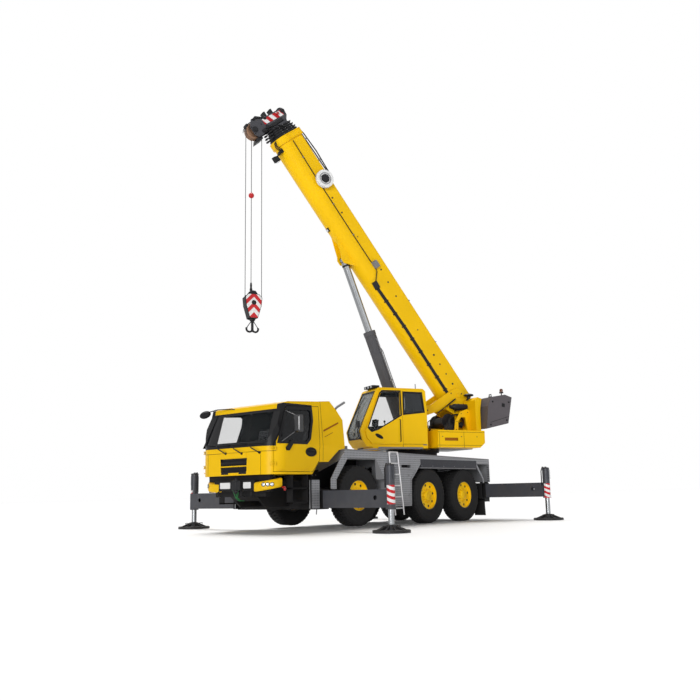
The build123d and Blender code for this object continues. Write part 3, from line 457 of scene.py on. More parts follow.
def checkerFinish():  # light anti-slip sheet: rows of pressed dots
    finish = Finish("checkerPlate", paints["plateGrey"], 0.42, 0.35)
    weathered(finish, 0.12, 2.0, 0.3)
    pitch = 0.052
    across, side, rise = [v.wrap(pitch) / pitch - 0.5 for v in finish.axes(plain)]
    normal = finish.node("ShaderNodeSeparateXYZ", {}, finish.node("ShaderNodeNewGeometry").out("Normal"))
    flat = normal.out(2).size() > 0.7
    other = rise * (1 - flat) + side * flat
    dot = (across * across + other * other) < 0.055
    x, y, z = finish.axes(veh)
    pressed = dot * (1 - (y.size() > 1.276)) * (1 - (z < 1.66) * (y.size() < 1.2))
    finish.over(pressed, (0.10, 0.10, 0.11))
    # painted highlight: flat faces high on the deck are lighter, as where light falls on the tops
    finish.over(flat * (z > 1.55), (0.50, 0.50, 0.51))
    beam = (x < 1.44) * within(z, 1.3, 1.60) * (x > -1.20)
    finish.over(beam, (0.026, 0.027, 0.034))
    finish.over(y.size() > 1.276, (0.62, 0.62, 0.63))
    finish.relief(pressed, 0.5, 0.003)
    return finish.material


checkerPlate, chevronPaint, stripePaint = checkerFinish(), chevronFinish(), stripeFinish()


def ropeFinish():  # laid steel strands, each darkening towards its groove as painted shade
    finish = Finish("ropeSteel", (0.11, 0.11, 0.115), 0.4, 0.8)
    x, y, z = finish.axes(fall)
    lay = (z * 9.0 + x * 20.0 + y * 20.0).wrap(0.24) / 0.24
    finish.relief(lay, 0.6, 0.003)
    # painted shade: each strand darkens towards the groove next to it
    finish.over(lay * 0.5, (0.03, 0.03, 0.03))
    return finish.material


def fabricFinish():
    finish = Finish("seatFabric", (0.030, 0.031, 0.035), 0.9)
    finish.shader.inputs["Sheen Weight"].default_value = 0.3
    x, y, z = finish.axes(plain)
    weave = (x.wrap(0.006) / 0.006 - 0.5).size() + ((y + z).wrap(0.006) / 0.006 - 0.5).size()
    finish.relief(weave, 0.35, 0.002)
    finish.over(finish.noise(40, 3.0) * 0.6, (0.055, 0.056, 0.06))
    return finish.material


ropeSteel, seatFabric = ropeFinish(), fabricFinish()
print("materials ready")
def circle(count):  # cosine and sine of equal steps round a circle
    return [(math.cos(k * math.tau / count), math.sin(k * math.tau / count)) for k in range(count)]


def crossAxes(way):
    side = way.orthogonal().normalized()
    return side, way.cross(side).normalized()


def inset(outline, step):  # an outline moved inwards by a step
    points = [Vector(p) for p in outline]
    turn = 1 if sum(a.x * b.y - b.x * a.y for a, b in zip(points, points[1:] + points[:1])) > 0 else -1
    moved = []
    for i, q in enumerate(points):
        a, b = (q - points[i - 1]).normalized(), (points[(i + 1) % len(points)] - q).normalized()
        na, nb = Vector((-a.y, a.x)) * turn, Vector((-b.y, b.x)) * turn
        moved.append(q + (na + nb) * (step / max(0.4, 1 + na.dot(nb))))
    return [tuple(p) for p in moved]


def rounded(outline, radius, steps=4):
    points, made = [Vector(p) for p in outline], []
    for i, q in enumerate(points):
        p, r = points[i - 1], points[(i + 1) % len(points)]
        a, b = (p - q), (r - q)
        reach = min(radius, a.length * 0.45, b.length * 0.45)
        start, end = q + a.normalized() * reach, q + b.normalized() * reach
        for k in range(steps + 1):
            f = k / steps
            made.append(tuple(start * (1 - f) ** 2 + q * (2 * f * (1 - f)) + end * f ** 2))
    return made


def oblong(x0, x1, z0, z1):
    return [(x0, z0), (x1, z0), (x1, z1), (x0, z1)]


def disc(radius, height):  # two profiles to turn round an axis: a solid disc and a ring
    return [(0, 0), (radius, 0), (radius, height), (0, height)]


def collar(inner, outer, height):
    return [(inner, 0), (outer, 0), (outer, height), (inner, height)]


def button(radius, height, top, topHeight, middle):  # a disc with a domed or stepped top
    return [(0, 0), (radius, 0), (radius, height), (top, topHeight), (0, middle)]


def loose(name, mesh):  # an object made of a mesh
    data = bpy.data.meshes.new(name)
    mesh.to_mesh(data)
    mesh.free()
    piece = bpy.data.objects.new(name, data)
    bpy.context.scene.collection.objects.link(piece)
    return piece


class Form:  # a mesh drawn in one frame; a point is a vector or three numbers of that frame
    def __init__(self, at):
        self.at, self.mesh = at, bmesh.new()

    def point(self, p):
        return p if isinstance(p, Vector) else self.at(*p)

    def ring(self, points):
        return [self.mesh.verts.new(self.point(p)) for p in points]

    def wall(self, a, b):  # faces between two rings
        turned = [*range(1, len(a)), 0]
        return [self.mesh.faces.new((a[k], a[m], b[m], b[k])) for k, m in enumerate(turned)]

    def outward(self, faces):
        bmesh.ops.recalc_face_normals(self.mesh, faces=faces)

    def prism(self, near, far):  # two matching outlines joined by a wall
        a, b = self.ring(near), self.ring(far)
        self.outward([self.mesh.faces.new(a[::-1]), self.mesh.faces.new(b)] + self.wall(a, b))

    def wedge(self, near, y0, far, y1, at=None):  # outlines in the frame's first and third numbers
        at = at or self.at
        self.prism([at(x, y0, z) for x, z in near], [at(x, y1, z) for x, z in far])

    def plate(self, outline, y0, y1, at=None):
        self.wedge(outline, y0, outline, y1, at)

    def slab(self, x0, x1, y0, y1, z0, z1, at=None):
        self.plate(oblong(x0, x1, z0, z1), y0, y1, at)

    def pane(self, outline, x0, x1, far=None):  # an outline in the frame's second and third numbers
        self.prism([(x0, y, z) for y, z in outline], [(x1, y, z) for y, z in far or outline])

    def tube(self, route, radius, sides=8):
        route, rings, side = [self.point(p) for p in route], [], None
        for i, p in enumerate(route):
            way = (route[min(i + 1, len(route) - 1)] - route[max(i - 1, 0)]).normalized()
            side = crossAxes(way)[0] if side is None else side
            side = (side - way * side.dot(way)).normalized()
            over = way.cross(side)
            rings.append(self.ring([p + (side * c + over * s) * radius for c, s in circle(sides)]))
        faces = sum([self.wall(a, b) for a, b in zip(rings, rings[1:])], [])
        self.outward(faces + [self.mesh.faces.new(rings[0][::-1]), self.mesh.faces.new(rings[-1])])

    def lathe(self, origin, axis, profile, sides=48):  # profile of (radius, along); closed form
        origin, axis, faces = self.point(origin), Vector(axis).normalized(), []
        side, over = crossAxes(axis)
        rings = [self.ring([origin + axis * h + (side * c + over * s) * r
                            for c, s in (circle(sides) if r else [(0, 0)])]) for r, h in profile]
        for i in range(len(rings) if profile[0][0] else len(rings) - 1):
            a, b = rings[i], rings[(i + 1) % len(rings)]
            for k in range(sides):
                m = (k + 1) % sides
                loop = [a[k % len(a)], a[m % len(a)], b[m % len(b)], b[k % len(b)]]
                loop = list(dict.fromkeys(loop))
                if len(loop) > 2:
                    faces.append(self.mesh.faces.new(loop))
        self.outward(faces)

    def band(self, outline, y0, y1, width, radius=0.0, steps=3, at=None):  # a frame that follows an outline
        at = at or self.at
        outer = rounded(outline, radius + width, steps) if radius else [tuple(p) for p in outline]
        inner = rounded(inset(outline, width), radius, steps) if radius else inset(outline, width)
        rings = [self.ring([at(a, y, b) for a, b in ring]) for ring, y in
                 ((outer, y0), (outer, y1), (inner, y1), (inner, y0))]
        self.outward(sum([self.wall(a, b) for a, b in zip(rings, rings[1:] + rings[:1])], []))

    def ball(self, centre, radius, squash=1.0, sides=16):
        steps = sides // 2
        profile = [(radius * math.sin(math.pi * i / steps), -radius * squash * math.cos(math.pi * i / steps))
                   for i in range(steps + 1)]
        profile[0], profile[-1] = (0.0, profile[0][1]), (0.0, profile[-1][1])
        self.lathe(centre, up, profile, sides)

    def finish(self, name, material, body, bevel=0.0, smooth=False):
        self.mesh.normal_update()
        piece = loose(name, self.mesh)
        piece.data.materials.append(material)
        if smooth:
            piece.data.shade_smooth()
            piece.data.set_sharp_from_angle(angle=math.radians(40))
        if bevel:
            edge = piece.modifiers.new("edge", "BEVEL")
            edge.width, edge.segments, edge.limit_method = bevel, 2, "ANGLE"
            edge.use_clamp_overlap = True
        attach(piece, body)
        return piece


def seat(at, x, y, z, turn=None):  # puts a mesh drawn at the origin into a frame
    zero = at(0, 0, 0)
    place = Matrix([at(*way) - zero for way in ((1, 0, 0), (0, 1, 0), (0, 0, 1))]).transposed().to_4x4()
    place.translation = at(x, y, z)
    return place @ turn if turn else place


class Rule(Tree):  # a Geometry Nodes tree with named inputs
    def __init__(self, name, **inputs):
        super().__init__(bpy.data.node_groups.new(name, "GeometryNodeTree"))
        self.tree.interface.new_socket("Geometry", in_out="INPUT", socket_type="NodeSocketGeometry")
        for key, kind in inputs.items():
            self.tree.interface.new_socket(key, in_out="INPUT", socket_type="NodeSocket" + kind)
        self.tree.interface.new_socket("Geometry", in_out="OUTPUT", socket_type="NodeSocketGeometry")
        self.given = self.node("NodeGroupInput")

    def copied(self, spots, **turned):  # the given piece on every spot
        source = self.node("GeometryNodeObjectInfo", {}, Object=self.given.out("Piece")).out("Geometry")
        return self.node("GeometryNodeInstanceOnPoints", {}, spots, Instance=source, **turned).first()

    def close(self, geometry):  # realized, joined to what came in, one material
        real = self.node("GeometryNodeRealizeInstances", {}, geometry).first()
        joined = self.node("GeometryNodeJoinGeometry")
        self.tree.links.new(self.given.out("Geometry").socket, joined.node.inputs[0])
        self.tree.links.new(real.socket, joined.node.inputs[0])
        told = self.node("GeometryNodeSetMaterial", {}, Geometry=joined.first(),
                         Material=self.given.out("Material"))
        self.node("NodeGroupOutput", {}, told.first())
        return self.tree


def ringRule():  # copies of a piece round its Z axis
    rule = Rule("ring", Piece="Object", Count="Int", Start="Float", Material="Material")
    spots = rule.node("GeometryNodeMeshLine", {}, Count=rule.given.out("Count"), Offset=(0, 0, 0)).first()
    turn = rule.node("GeometryNodeInputIndex").first() * math.tau / rule.given.out("Count")
    facing = rule.node("ShaderNodeCombineXYZ", {}, Z=turn + rule.given.out("Start")).first()
    return rule.close(rule.copied(spots, Rotation=facing))


def rowRule():  # copies of a piece along a straight row
    rule = Rule("row", Piece="Object", Count="Int", Step="Vector", Material="Material")
    spots = rule.node("GeometryNodeMeshLine", {}, Count=rule.given.out("Count"),
                      Offset=rule.given.out("Step")).first()
    return rule.close(rule.copied(spots))


def studRule():  # a fastener on each point, along its own direction
    rule = Rule("studs", Piece="Object", Seed="Int", Material="Material")
    way = rule.node("GeometryNodeInputNamedAttribute", {"data_type": "FLOAT_VECTOR"}, Name="way").first()
    size = rule.node("GeometryNodeInputNamedAttribute", {"data_type": "FLOAT"}, Name="size").first()
    spin = rule.node("FunctionNodeRandomValue", {"data_type": "FLOAT"}, Seed=rule.given.out("Seed"))
    spin.node.inputs[3].default_value = 6.283
    facing = rule.node("FunctionNodeAlignRotationToVector", {"axis": "Z"}, Vector=way).first()
    about = rule.node("FunctionNodeAxisAngleToRotation", {}, Axis=(0, 0, 1), Angle=spin.out(1)).first()
    turned = rule.node("FunctionNodeRotateRotation", {"rotation_space": "LOCAL"}, facing, about).first()
    made = rule.copied(rule.given.out("Geometry"), Rotation=turned, Scale=size)
    real = rule.node("GeometryNodeRealizeInstances", {}, made).first()
    told = rule.node("GeometryNodeSetMaterial", {}, Geometry=real, Material=rule.given.out("Material"))
    rule.node("NodeGroupOutput", {}, told.first())
    return rule.tree


rules = {"ring": ringRule(), "row": rowRule(), "studs": studRule()}


def grown(name, rule, base, places, body, settings, sharp=35):  # runs a rule, keeps its plain mesh
    holder = loose(name, base)
    maker = holder.modifiers.new("rule", "NODES")
    maker.node_group = rules[rule]
    for item in rules[rule].interface.items_tree:
        if item.in_out == "INPUT" and item.name in settings:
            maker[item.identifier] = settings[item.name]
    data = bpy.data.meshes.new_from_object(holder.evaluated_get(bpy.context.evaluated_depsgraph_get()))
    for gone in [holder, settings["Piece"]]:
        bpy.data.objects.remove(gone)
    pieces = []
    for spot, rides in zip(places, body if isinstance(body, list) else [body] * len(places)):
        copy = data.copy()
        copy.transform(spot)
        if spot.determinant() < 0:
            copy.flip_normals()
        copy.shade_smooth()
        copy.set_sharp_from_angle(angle=math.radians(sharp))
        piece = bpy.data.objects.new(name if len(places) == 1 else f"{name}_{len(pieces) + 1}", copy)
        bpy.context.scene.collection.objects.link(piece)
        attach(piece, rides)
        pieces.append(piece)
    return pieces


def hexHead():  # a bolt head of unit radius on its washer, standing on the XY plane
    head = Form(plain)
    head.lathe((0, 0, 0), up, [(0, -0.1), (1.25, -0.1), (1.25, 0.12), (0, 0.12)], 16)
    head.lathe((0, 0, 0), up, [(0, 0.1), (0.93, 0.1), (0.93, 0.68), (0.80, 0.80), (0, 0.80)], 6)
    return loose("head", head.mesh)


def bolts(name, spots, body, material, seed=1):  # spots: place, direction, radius
    points = bmesh.new()
    way = points.verts.layers.float_vector.new("way")
    size = points.verts.layers.float.new("size")
    for place, direction, radius in spots:
        spot = points.verts.new(place)
        spot[way], spot[size] = Vector(direction).normalized(), radius
    return grown(name, "studs", points, [Matrix()], body,
                 {"Piece": hexHead(), "Seed": seed, "Material": material})


def dress(material, *names):
    for name in names:
        for node in frame["nodes"]:
            if node == name or (name.endswith("*") and node.startswith(name[:-1])):
                data = frame["nodes"][node].data
                data.materials.clear()
                data.materials.append(material)


dress(boomPaint, "boom_base")
dress(rimPaint, "rim_*")
dress(sectionPaint, "boom_section_*")
dress(bodyPaint, "superstructure_frame")
dress(cabPaint, "carrier_cab", "cab_door_left", "cab_door_right")
dress(opCabPaint, "operator_cab", "operator_door")
dress(beamPaint, "outrigger_beam_*")
dress(framePaint, "chassis_frame", "axle_beams", "power_unit", "knuckle_*")
dress(barrelPaint, "luff_barrel")
dress(weightPaint, "counterweight")
dress(checkerPlate, "deck_and_guards")
dress(castSteel, "hoist_winch", "hook_block")
dress(jackSteel, "outrigger_jack_*")
dress(ropeSteel, "hoist_ropes")
dress(chrome, "luff_rod")
dress(blackPlastic, "carrier_cab_interior", "cab_seats", "operator_seat", "cab_mirrors", "front_bumper")
dress(glossBlack, "door_mirror_left")
# the near door's glass is nearly opaque dark: painted shade of the cab's inside, while the far door's glass
# is clear
dress(darkGlass, "cab_door_glass_left")
dress(operatorGlass, "operator_cab_glass")
dress(clearGlass, "carrier_cab_glass", "operator_door_glass", "cab_door_glass_right")
dress(tyreRubber, "tyre_*")
print("frame dressed")
cabWall = {"half": 1.2, "belt": 1.84, "lean": 0.125, "height": 1.01,
           "front": 6.5, "flat": 0.8, "corner": 0.4, "sill": 1.82, "rake": 0.4366}


def wallOf(side):  # d out from the cab's side wall, which leans in above its belt
    def wall(x, d, z):
        lean = cabWall["lean"] * max(0.0, z - cabWall["belt"]) / cabWall["height"]
        return veh(x, side * (cabWall["half"] - lean + d), z)
    return wall


def cabFront(y, d, z):  # d ahead of the cab's front, round its corners
    r = cabWall["corner"]
    turn = max(0.0, abs(y) - cabWall["flat"])
    back = r - math.sqrt(max(0.0, r * r - turn ** 2))
    return veh(cabWall["front"] - back - max(0.0, z - cabWall["sill"]) * cabWall["rake"] + d, y, z)


walls = {"left": wallOf(1), "right": wallOf(-1)}
cushionTrim = {"voxel": 0.012, "pressure": 4.0, "cap": 0.014, "fill": 0.6}


def simulated(data, cap):  # swells a closed skin a little, as a stuffed cover does
    piece = bpy.data.objects.new("swelling", data)
    bpy.context.scene.collection.objects.link(piece)
    before = [v.co.copy() for v in data.vertices]
    cloth = piece.modifiers.new("cloth", "CLOTH")
    cloth.settings.use_pressure = True
    cloth.settings.uniform_pressure_force = cushionTrim["pressure"]
    cloth.settings.effector_weights.gravity = 0
    cloth.settings.quality = 5
    cloth.point_cache.frame_start, cloth.point_cache.frame_end = 1, 20
    for number in range(1, 21):
        bpy.context.scene.frame_set(number)
    after = piece.evaluated_get(bpy.context.evaluated_depsgraph_get()).data
    for v, start, end in zip(data.vertices, before, [w.co.copy() for w in after.vertices]):
        move = end - start
        v.co = start + move * min(1.0, cap / max(1e-6, move.length))
    piece.modifiers.clear()
    bpy.context.scene.frame_set(1)
    bpy.data.objects.remove(piece)


def stuffed(size, channels, flat):  # size along X, Y, Z; sewn channels across at these X; flat low face
    mesh = bmesh.new()
    bmesh.ops.create_cube(mesh, size=1)
    for v in mesh.verts:
        pull = 0.94 if v.co.z > 0 else 1.0
        x, y, z = v.co
        v.co = Vector((x * (size[0] - 0.028) * pull, y * (size[1] - 0.028) * pull, z * (size[2] - 0.028)))
    bmesh.ops.bevel(mesh, geom=mesh.edges[:], offset=0.030, segments=3, affect="EDGES", profile=0.6)
    piece = loose("pad", mesh)
    skin = piece.modifiers.new("skin", "REMESH")
    skin.mode, skin.voxel_size = "VOXEL", cushionTrim["voxel"]
    data = bpy.data.meshes.new_from_object(piece.evaluated_get(bpy.context.evaluated_depsgraph_get()))
    bpy.data.objects.remove(piece)
    simulated(data, cushionTrim["cap"])
    for v in data.vertices:
        if v.co.z > 0:
            edge = max(0.0, 1 - (2 * v.co.y / size[1]) ** 4) * max(0.0, 1 - (2 * v.co.x / size[0]) ** 4)
            v.co.z += 0.016 * edge - sum(0.013 * math.exp(-((v.co.x - c) / 0.010) ** 2) for c in channels)
        elif flat:
            v.co.z = max(v.co.z, -size[2] / 2)
    piece = bpy.data.objects.new("pad", data)
    bpy.context.scene.collection.objects.link(piece)
    finer = piece.modifiers.new("finer", "SUBSURF")
    finer.levels = finer.render_levels = 1
    data = bpy.data.meshes.new_from_object(piece.evaluated_get(bpy.context.evaluated_depsgraph_get()))
    bpy.data.objects.remove(piece)
    return data


seatPad = stuffed((0.46, 0.45, 0.12), (-0.11, 0.0, 0.11), True)
backPad = stuffed((0.69, 0.41, 0.12), (-0.22, -0.08, 0.06, 0.20), True)
leanBack = Matrix.Rotation(math.radians(-8.1), 4, "Y")
standUp = Matrix(((0, 0, 1, 0), (0, 1, 0, 0), (-1, 0, 0, 0), (0, 0, 0, 1)))  # the crowned face looks ahead
seats = {"driver": (veh, 5.415, 0.48, 1.62, 5.14, 1.95, "carrier", "cab_seats"),
         "mate": (veh, 5.415, -0.48, 1.62, 5.14, 1.95, "carrier", "cab_seats"),
         "operator": (sup, 0.95, 0.84, 2.318, 0.665, 2.66, "superstructure", "operator_seat")}
for name, (at, x, y, z, backX, backZ, rides, node) in seats.items():
    for part, data, place in (("Cushion", seatPad, seat(at, x, y, z)),
                              ("Back", backPad, seat(at, backX, y, backZ, leanBack @ standUp))):
        copy = data.copy()
        copy.transform(place)
        copy.materials.append(seatFabric)
        copy.shade_smooth()
        piece = bpy.data.objects.new(name + part, copy)
        bpy.context.scene.collection.objects.link(piece)
        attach(piece, rides)
        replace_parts(piece, node)
    form = Form(at)  # pedestal with bellows, seat pan, shell of the back
    bottom = 1.256 if at is veh else 1.970
    span = z - 0.075 - bottom
    folds = span - 0.04
    for k in range(5):
        form.lathe((x, y, bottom + 0.02 + k * folds / 5), up,
                   [(0, 0), (0.13, 0), (0.15, folds / 10), (0.13, folds / 5), (0, folds / 5)], 28)
    form.slab(x - 0.21, x + 0.21, y - 0.2, y + 0.2, z - 0.082, z - 0.062)
    form.slab(x - 0.2, x + 0.2, y - 0.17, y + 0.17, bottom, bottom + 0.025)
    shell = [(backX + 0.048 - 0.11, backZ - 0.33), (backX - 0.052 - 0.058, backZ + 0.34),
             (backX - 0.052 - 0.075, backZ + 0.34), (backX + 0.048 - 0.135, backZ - 0.33)]
    form.plate(shell, y - 0.185, y + 0.185)
    for s in (1, -1):
        form.tube([(x - 0.2, y + s * 0.215, z - 0.06), (x - 0.28, y + s * 0.215, z - 0.02),
                   (backX, y + s * 0.205, backZ - 0.25)], 0.014)
    form.finish(f"{name}SeatFrame", blackPlastic, rides, 0.004, True)
form = Form(sup)  # operator's console, pedals and levers
form.plate(rounded([(1.5, 1.972), (1.74, 1.972), (1.74, 2.3), (1.66, 2.49), (1.52, 2.45), (1.5, 2.2)],
                   0.03), 0.71, 0.97)
for k in (-1, 1):
    arm, foot = 0.84 + k * 0.31, 0.84 + k * 0.17
    form.plate(rounded([(0.86, 2.4), (1.2, 2.44), (1.22, 2.5), (0.86, 2.5)], 0.02), arm - 0.045, arm + 0.045)
    form.tube([(1.14, arm, 2.48), (1.16, arm, 2.62)], 0.012)
    form.ball((1.162, arm, 2.64), 0.028, 1.3)
    form.plate([(1.62, 2.02), (1.84, 2.1), (1.84, 2.12), (1.62, 2.04)], foot - 0.05, foot + 0.05)
form.finish("operatorConsole", blackPlastic, "superstructure", 0.004, True)
form = Form(sup)
form.plate([(1.575, 2.484), (1.665, 2.5), (1.645, 2.66), (1.555, 2.644)], 0.74, 0.94)
form.finish("operatorScreen", darkGlass, "superstructure", 0.006)
print("seats ready")
tyreShape = {"radius": 0.684, "half": 0.187, "bead": 0.350, "lugs": 46, "depth": 0.024, "width": 0.060}


def tyreCarcass():
    top, t = tyreShape["radius"] - tyreShape["depth"], tyreShape
    wall = [(t["bead"], 0.118), (t["bead"] + 0.012, 0.148), (0.395, 0.165), (0.402, 0.171), (0.412, 0.168),
            (0.47, 0.181), (0.54, 0.1865), (0.590, 0.186), (0.600, 0.1885), (0.610, 0.184), (0.636, 0.177),
            (top - 0.005, 0.164), (top, 0.13), (top, 0.04)]
    carcass = Form(plain)
    carcass.lathe((0, 0, 0), up, wall + [(r, -h) for r, h in wall[::-1]], 96)
    return carcass.mesh


def tyreLugs():  # one pitch of the tread, at the top of its X axis
    lug, t = Form(plain), tyreShape
    base, top, w = t["radius"] - t["depth"] - 0.01, t["radius"], t["width"] / 2
    shift = math.pi * top / t["lugs"]
    shoulder = [(0.066, base), (0.066, top), (0.148, top - 0.002), (0.166, top - 0.012), (0.178, top - 0.046),
                (0.170, base - 0.03)]
    middle = [(0.006, base), (0.006, top), (0.058, top), (0.058, base)]
    for side, turn in ((1, 0.0), (-1, shift)):
        for outline, skew in ((shoulder, 0.012), (middle, -0.014)):
            ring = [(side * z, r) for z, r in outline]
            lug.prism(*[[(r, turn + edge + skew * abs(z) / 0.1, z) for z, r in ring] for edge in (-w, w)])
    return loose("lug", lug.mesh)


wheels = [(n, s) for n in "123" for s in ("left", "right")]
wheelPlaces, wheelBodies = [], [f"wheel_{n}_{s}" for n, s in wheels]
for n, s in wheels:
    low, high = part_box(f"tyre_{n}_{s}")
    wheelPlaces.append(Matrix.Translation((Vector(low) + Vector(high)) / 2)
                       @ Matrix.Rotation(math.radians(-90 if s == "left" else 90), 4, "X"))
tyres = grown("tyre", "ring", tyreCarcass(), wheelPlaces, wheelBodies,
              {"Piece": tyreLugs(), "Count": tyreShape["lugs"], "Start": 0.0, "Material": tyreRubber}, 30)
for piece, (n, s) in zip(tyres, wheels):
    piece.name = f"tyreTread_{n}_{s}"
    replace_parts(piece, f"tyre_{n}_{s}")

rimFit = {"nuts": 12, "nutCircle": 0.170, "holes": 8, "holeCircle": 0.262}
nut, hole, hub = Form(plain), Form(plain), Form(plain)
nut.lathe((rimFit["nutCircle"], 0, 0.09), up, disc(0.022, 0.004), 12)
nut.lathe((rimFit["nutCircle"], 0, 0.094), up, button(0.0135, 0.018, 0.01, 0.024, 0.024), 6)
nut.lathe((rimFit["nutCircle"], 0, 0.118), up, disc(0.007, 0.012), 8)
# dark discs in the hand holes: painted shade inside the holes
hole.lathe((rimFit["holeCircle"], 0, 0.086), up,
         [(0, 0), (0.026, 0), (0.031, 0.004), (0.026, 0.006), (0.02, 0.0025), (0, 0.0025)], 16)
for label, source, count, start, material in (("wheelNuts", nut, rimFit["nuts"], 0.1, yellowPaint),
                                              ("rimHoles", hole, rimFit["holes"], 0.2, framePaint)):
    settings = {"Piece": loose("source", source.mesh), "Count": count, "Start": start, "Material": material}
    made = grown(label, "ring", bmesh.new(), wheelPlaces, wheelBodies, settings)
    for piece, (n, s) in zip(made, wheels):
        piece.name = f"{label}_{n}_{s}"
hub.lathe((0, 0, 0.15), up, [(0, 0), (0.088, 0), (0.088, 0.004), (0.07, 0.014), (0.05, 0.016),
                                         (0.046, 0.022), (0, 0.022)], 32)
for c, s in circle(6):
    hub.lathe((0.104 * c, 0.104 * s, 0.125), up, disc(0.008, 0.01), 6)
hubData = loose("hub", hub.mesh)
for place, rides, (n, s) in zip(wheelPlaces, wheelBodies, wheels):
    form = Form(plain)
    form.mesh.from_mesh(hubData.data)
    form.mesh.transform(place)
    form.finish(f"hubCap_{n}_{s}", yellowPaint, rides, smooth=True)
bpy.data.objects.remove(hubData)
print("wheels ready")

cabTrim = {"sealWidth": 0.032, "sealDepth": 0.01, "slats": 4, "slatPitch": 0.031,
           "wipers": ((-0.247, 1.685), (0.27, 1.665), (0.813, 1.665))}
form = Form(cabFront)
form.band([(-1.0, 1.88), (-0.965, 2.22), (-0.93, 2.56), (-0.86, 2.56), (-0.8, 2.56), (0.8, 2.56),
           (0.86, 2.56), (0.93, 2.56), (0.965, 2.22), (1.0, 1.88), (0.9, 1.88), (0.8, 1.88), (-0.8, 1.88),
           (-0.9, 1.88)], -0.006, cabTrim["sealDepth"], cabTrim["sealWidth"])
form.band([(-0.45, 2.0), (-0.45, 2.42), (0.45, 2.42), (0.45, 2.0)], -0.006, 0.008, 0.03, 0.03,
          at=lambda y, d, z: veh(4.2235 - d, y, z))
form.finish("cabWindowSeals", blackPlastic, "carrier", smooth=True)

slat = Form(veh)
slat.plate([(6.475, 0.0), (6.490, 0.004), (6.492, 0.010), (6.476, 0.012)], -0.412, 0.412)
grown("grilleSlats", "row", bmesh.new(), [Matrix.Translation((0, 0, z)) for z in (1.262, 1.432)], "carrier",
      {"Piece": loose("slat", slat.mesh), "Count": cabTrim["slats"], "Step": (0, 0, cabTrim["slatPitch"]),
       "Material": blackPlastic})
form = Form(veh)
for y, z0, z1, x in ((0.17, 1.226, 1.272, 6.49), (0.416, 1.388, 1.42, 6.472),
                     (0.428, 1.566, 1.694, 6.472)):  # tab, bar, cover plate
    form.pane(oblong(-y, y, z0, z1), x, 6.507, oblong(-y + 0.01, y - 0.01, z0 + 0.006, z1 - 0.006))
form.finish("grilleBars", yellowPaint, "carrier", 0.002)

form = Form(cabFront)
for y, z in cabTrim["wipers"]:
    root, knee, tip = (cabFront(y, 0.012, z), cabFront(y - 0.23, 0.035, z + 0.11),
                       cabFront(y - 0.32, 0.045, 1.87))
    form.lathe((y, -0.004, z), (1, 0, 0), button(0.03, 0.012, 0.018, 0.03, 0.034), 16)
    form.tube([root + Vector((0.012, 0, 0)), knee], 0.012)
    form.tube([knee, tip], 0.008)
    form.tube([(y + 0.1, 0.026, 1.86), tip + Vector((-0.015, 0, 0)), (y - 0.64, 0.026, 1.9)], 0.01, 6)
form.finish("windscreenWipers", blackPlastic, "carrier", smooth=True)
form = Form(cabFront)  # dark border of the windscreen on the kerb side
border = [(-1.03, -1.00), (-0.94, -0.94), (-0.86, -0.88), (-0.72, -0.78), (-0.58, -0.70)]
for (a, c), (b, d) in zip(border, border[1:]):
    form.prism([(a, -0.004, 1.87), (b, -0.004, 1.87), (d, -0.004, 2.575), (c, -0.004, 2.575)],
               [(a, 0.006, 1.87), (b, 0.006, 1.87), (d, 0.006, 2.575), (c, 0.006, 2.575)])
form.finish("windscreenBorder", blackPlastic, "carrier")
# painted highlight: a light strip along the near windscreen post
form = Form(cabFront)
form.tube([(1.055, 0.006, 1.87), (1.05, 0.008, 2.2), (1.045, 0.006, 2.6)], 0.013, 10)
form.finish("postStrip", greyMetal, "carrier", smooth=True)


bumperTrim = {"front": 6.49, "half": 1.08, "corner": 0.36, "boxes": {1: 0.62, -1: 0.48}, "low": 0.855,
              "high": 1.045, "rise": 0.1, "plates": ((-0.445, -0.115), (0.3, 0.535)),
              "lamps": (0.88, 0.955, 1.015), "lampRadius": 0.036}


def bumperFront(y, d, z):  # d ahead of the bumper, round its corners
    r = bumperTrim["corner"]
    turn = max(0.0, abs(y) - bumperTrim["half"] + r)
    return veh(bumperTrim["front"] - r + math.sqrt(max(0.0, r * r - turn * turn)) + d, y, z)


def bumperBox(side):  # rounded end box, with a slanting inner end
    t, r = bumperTrim, bumperTrim["corner"]
    plan = [(t["front"] - 0.10, t["boxes"][side]), (t["front"], t["boxes"][side] + 0.015)]
    plan += [(t["front"] - r + r * math.cos(a), t["half"] - r + r * math.sin(a))
             for a in [math.radians(v) for v in range(0, 91, 10)]]
    plan += [(6.10, t["half"]), (6.10, t["half"] - 0.05), (6.20, t["half"] - 0.10)]
    return [(x, side * y) for x, y in plan]


def bumperRise(x, y):  # the end boxes climb a little towards their rear ends
    t = bumperTrim
    return t["rise"] * (0.4 * max(0.0, abs(y) - 0.6) / (t["half"] - 0.6) + 0.6 * (t["front"] - x) / 0.4)


form = Form(veh)
for side in (-1, 1):
    plan, t = bumperBox(side), bumperTrim
    levels = [(t["low"], 0.018), (t["low"] + 0.022, 0.0), (t["high"] - 0.022, 0.0), (t["high"], 0.018)]
    rings = [[(x, y, z + bumperRise(x, y)) for x, y in inset(plan, step)] for z, step in levels]
    for near, far in zip(rings, rings[1:]):
        form.prism(near, far)
boxes = form.finish("bumperBoxes", yellowPaint, "carrier", 0.003, True)
form = Form(veh)  # dark middle, brackets, valance behind
form.slab(6.36, 6.484, -0.64, 0.64, 0.885, 1.105)
form.slab(6.25, 6.36, -0.97, 0.97, 0.86, 1.235)
form.slab(6.18, 6.31, -0.8, 0.8, 0.76, 0.9)
for y in (-0.4, 0.4):
    form.slab(6.1, 6.37, y - 0.05, y + 0.05, 0.92, 1.06)
middle = form.finish("bumperMiddle", framePaint, "carrier", 0.006)
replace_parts(boxes, "front_bumper")
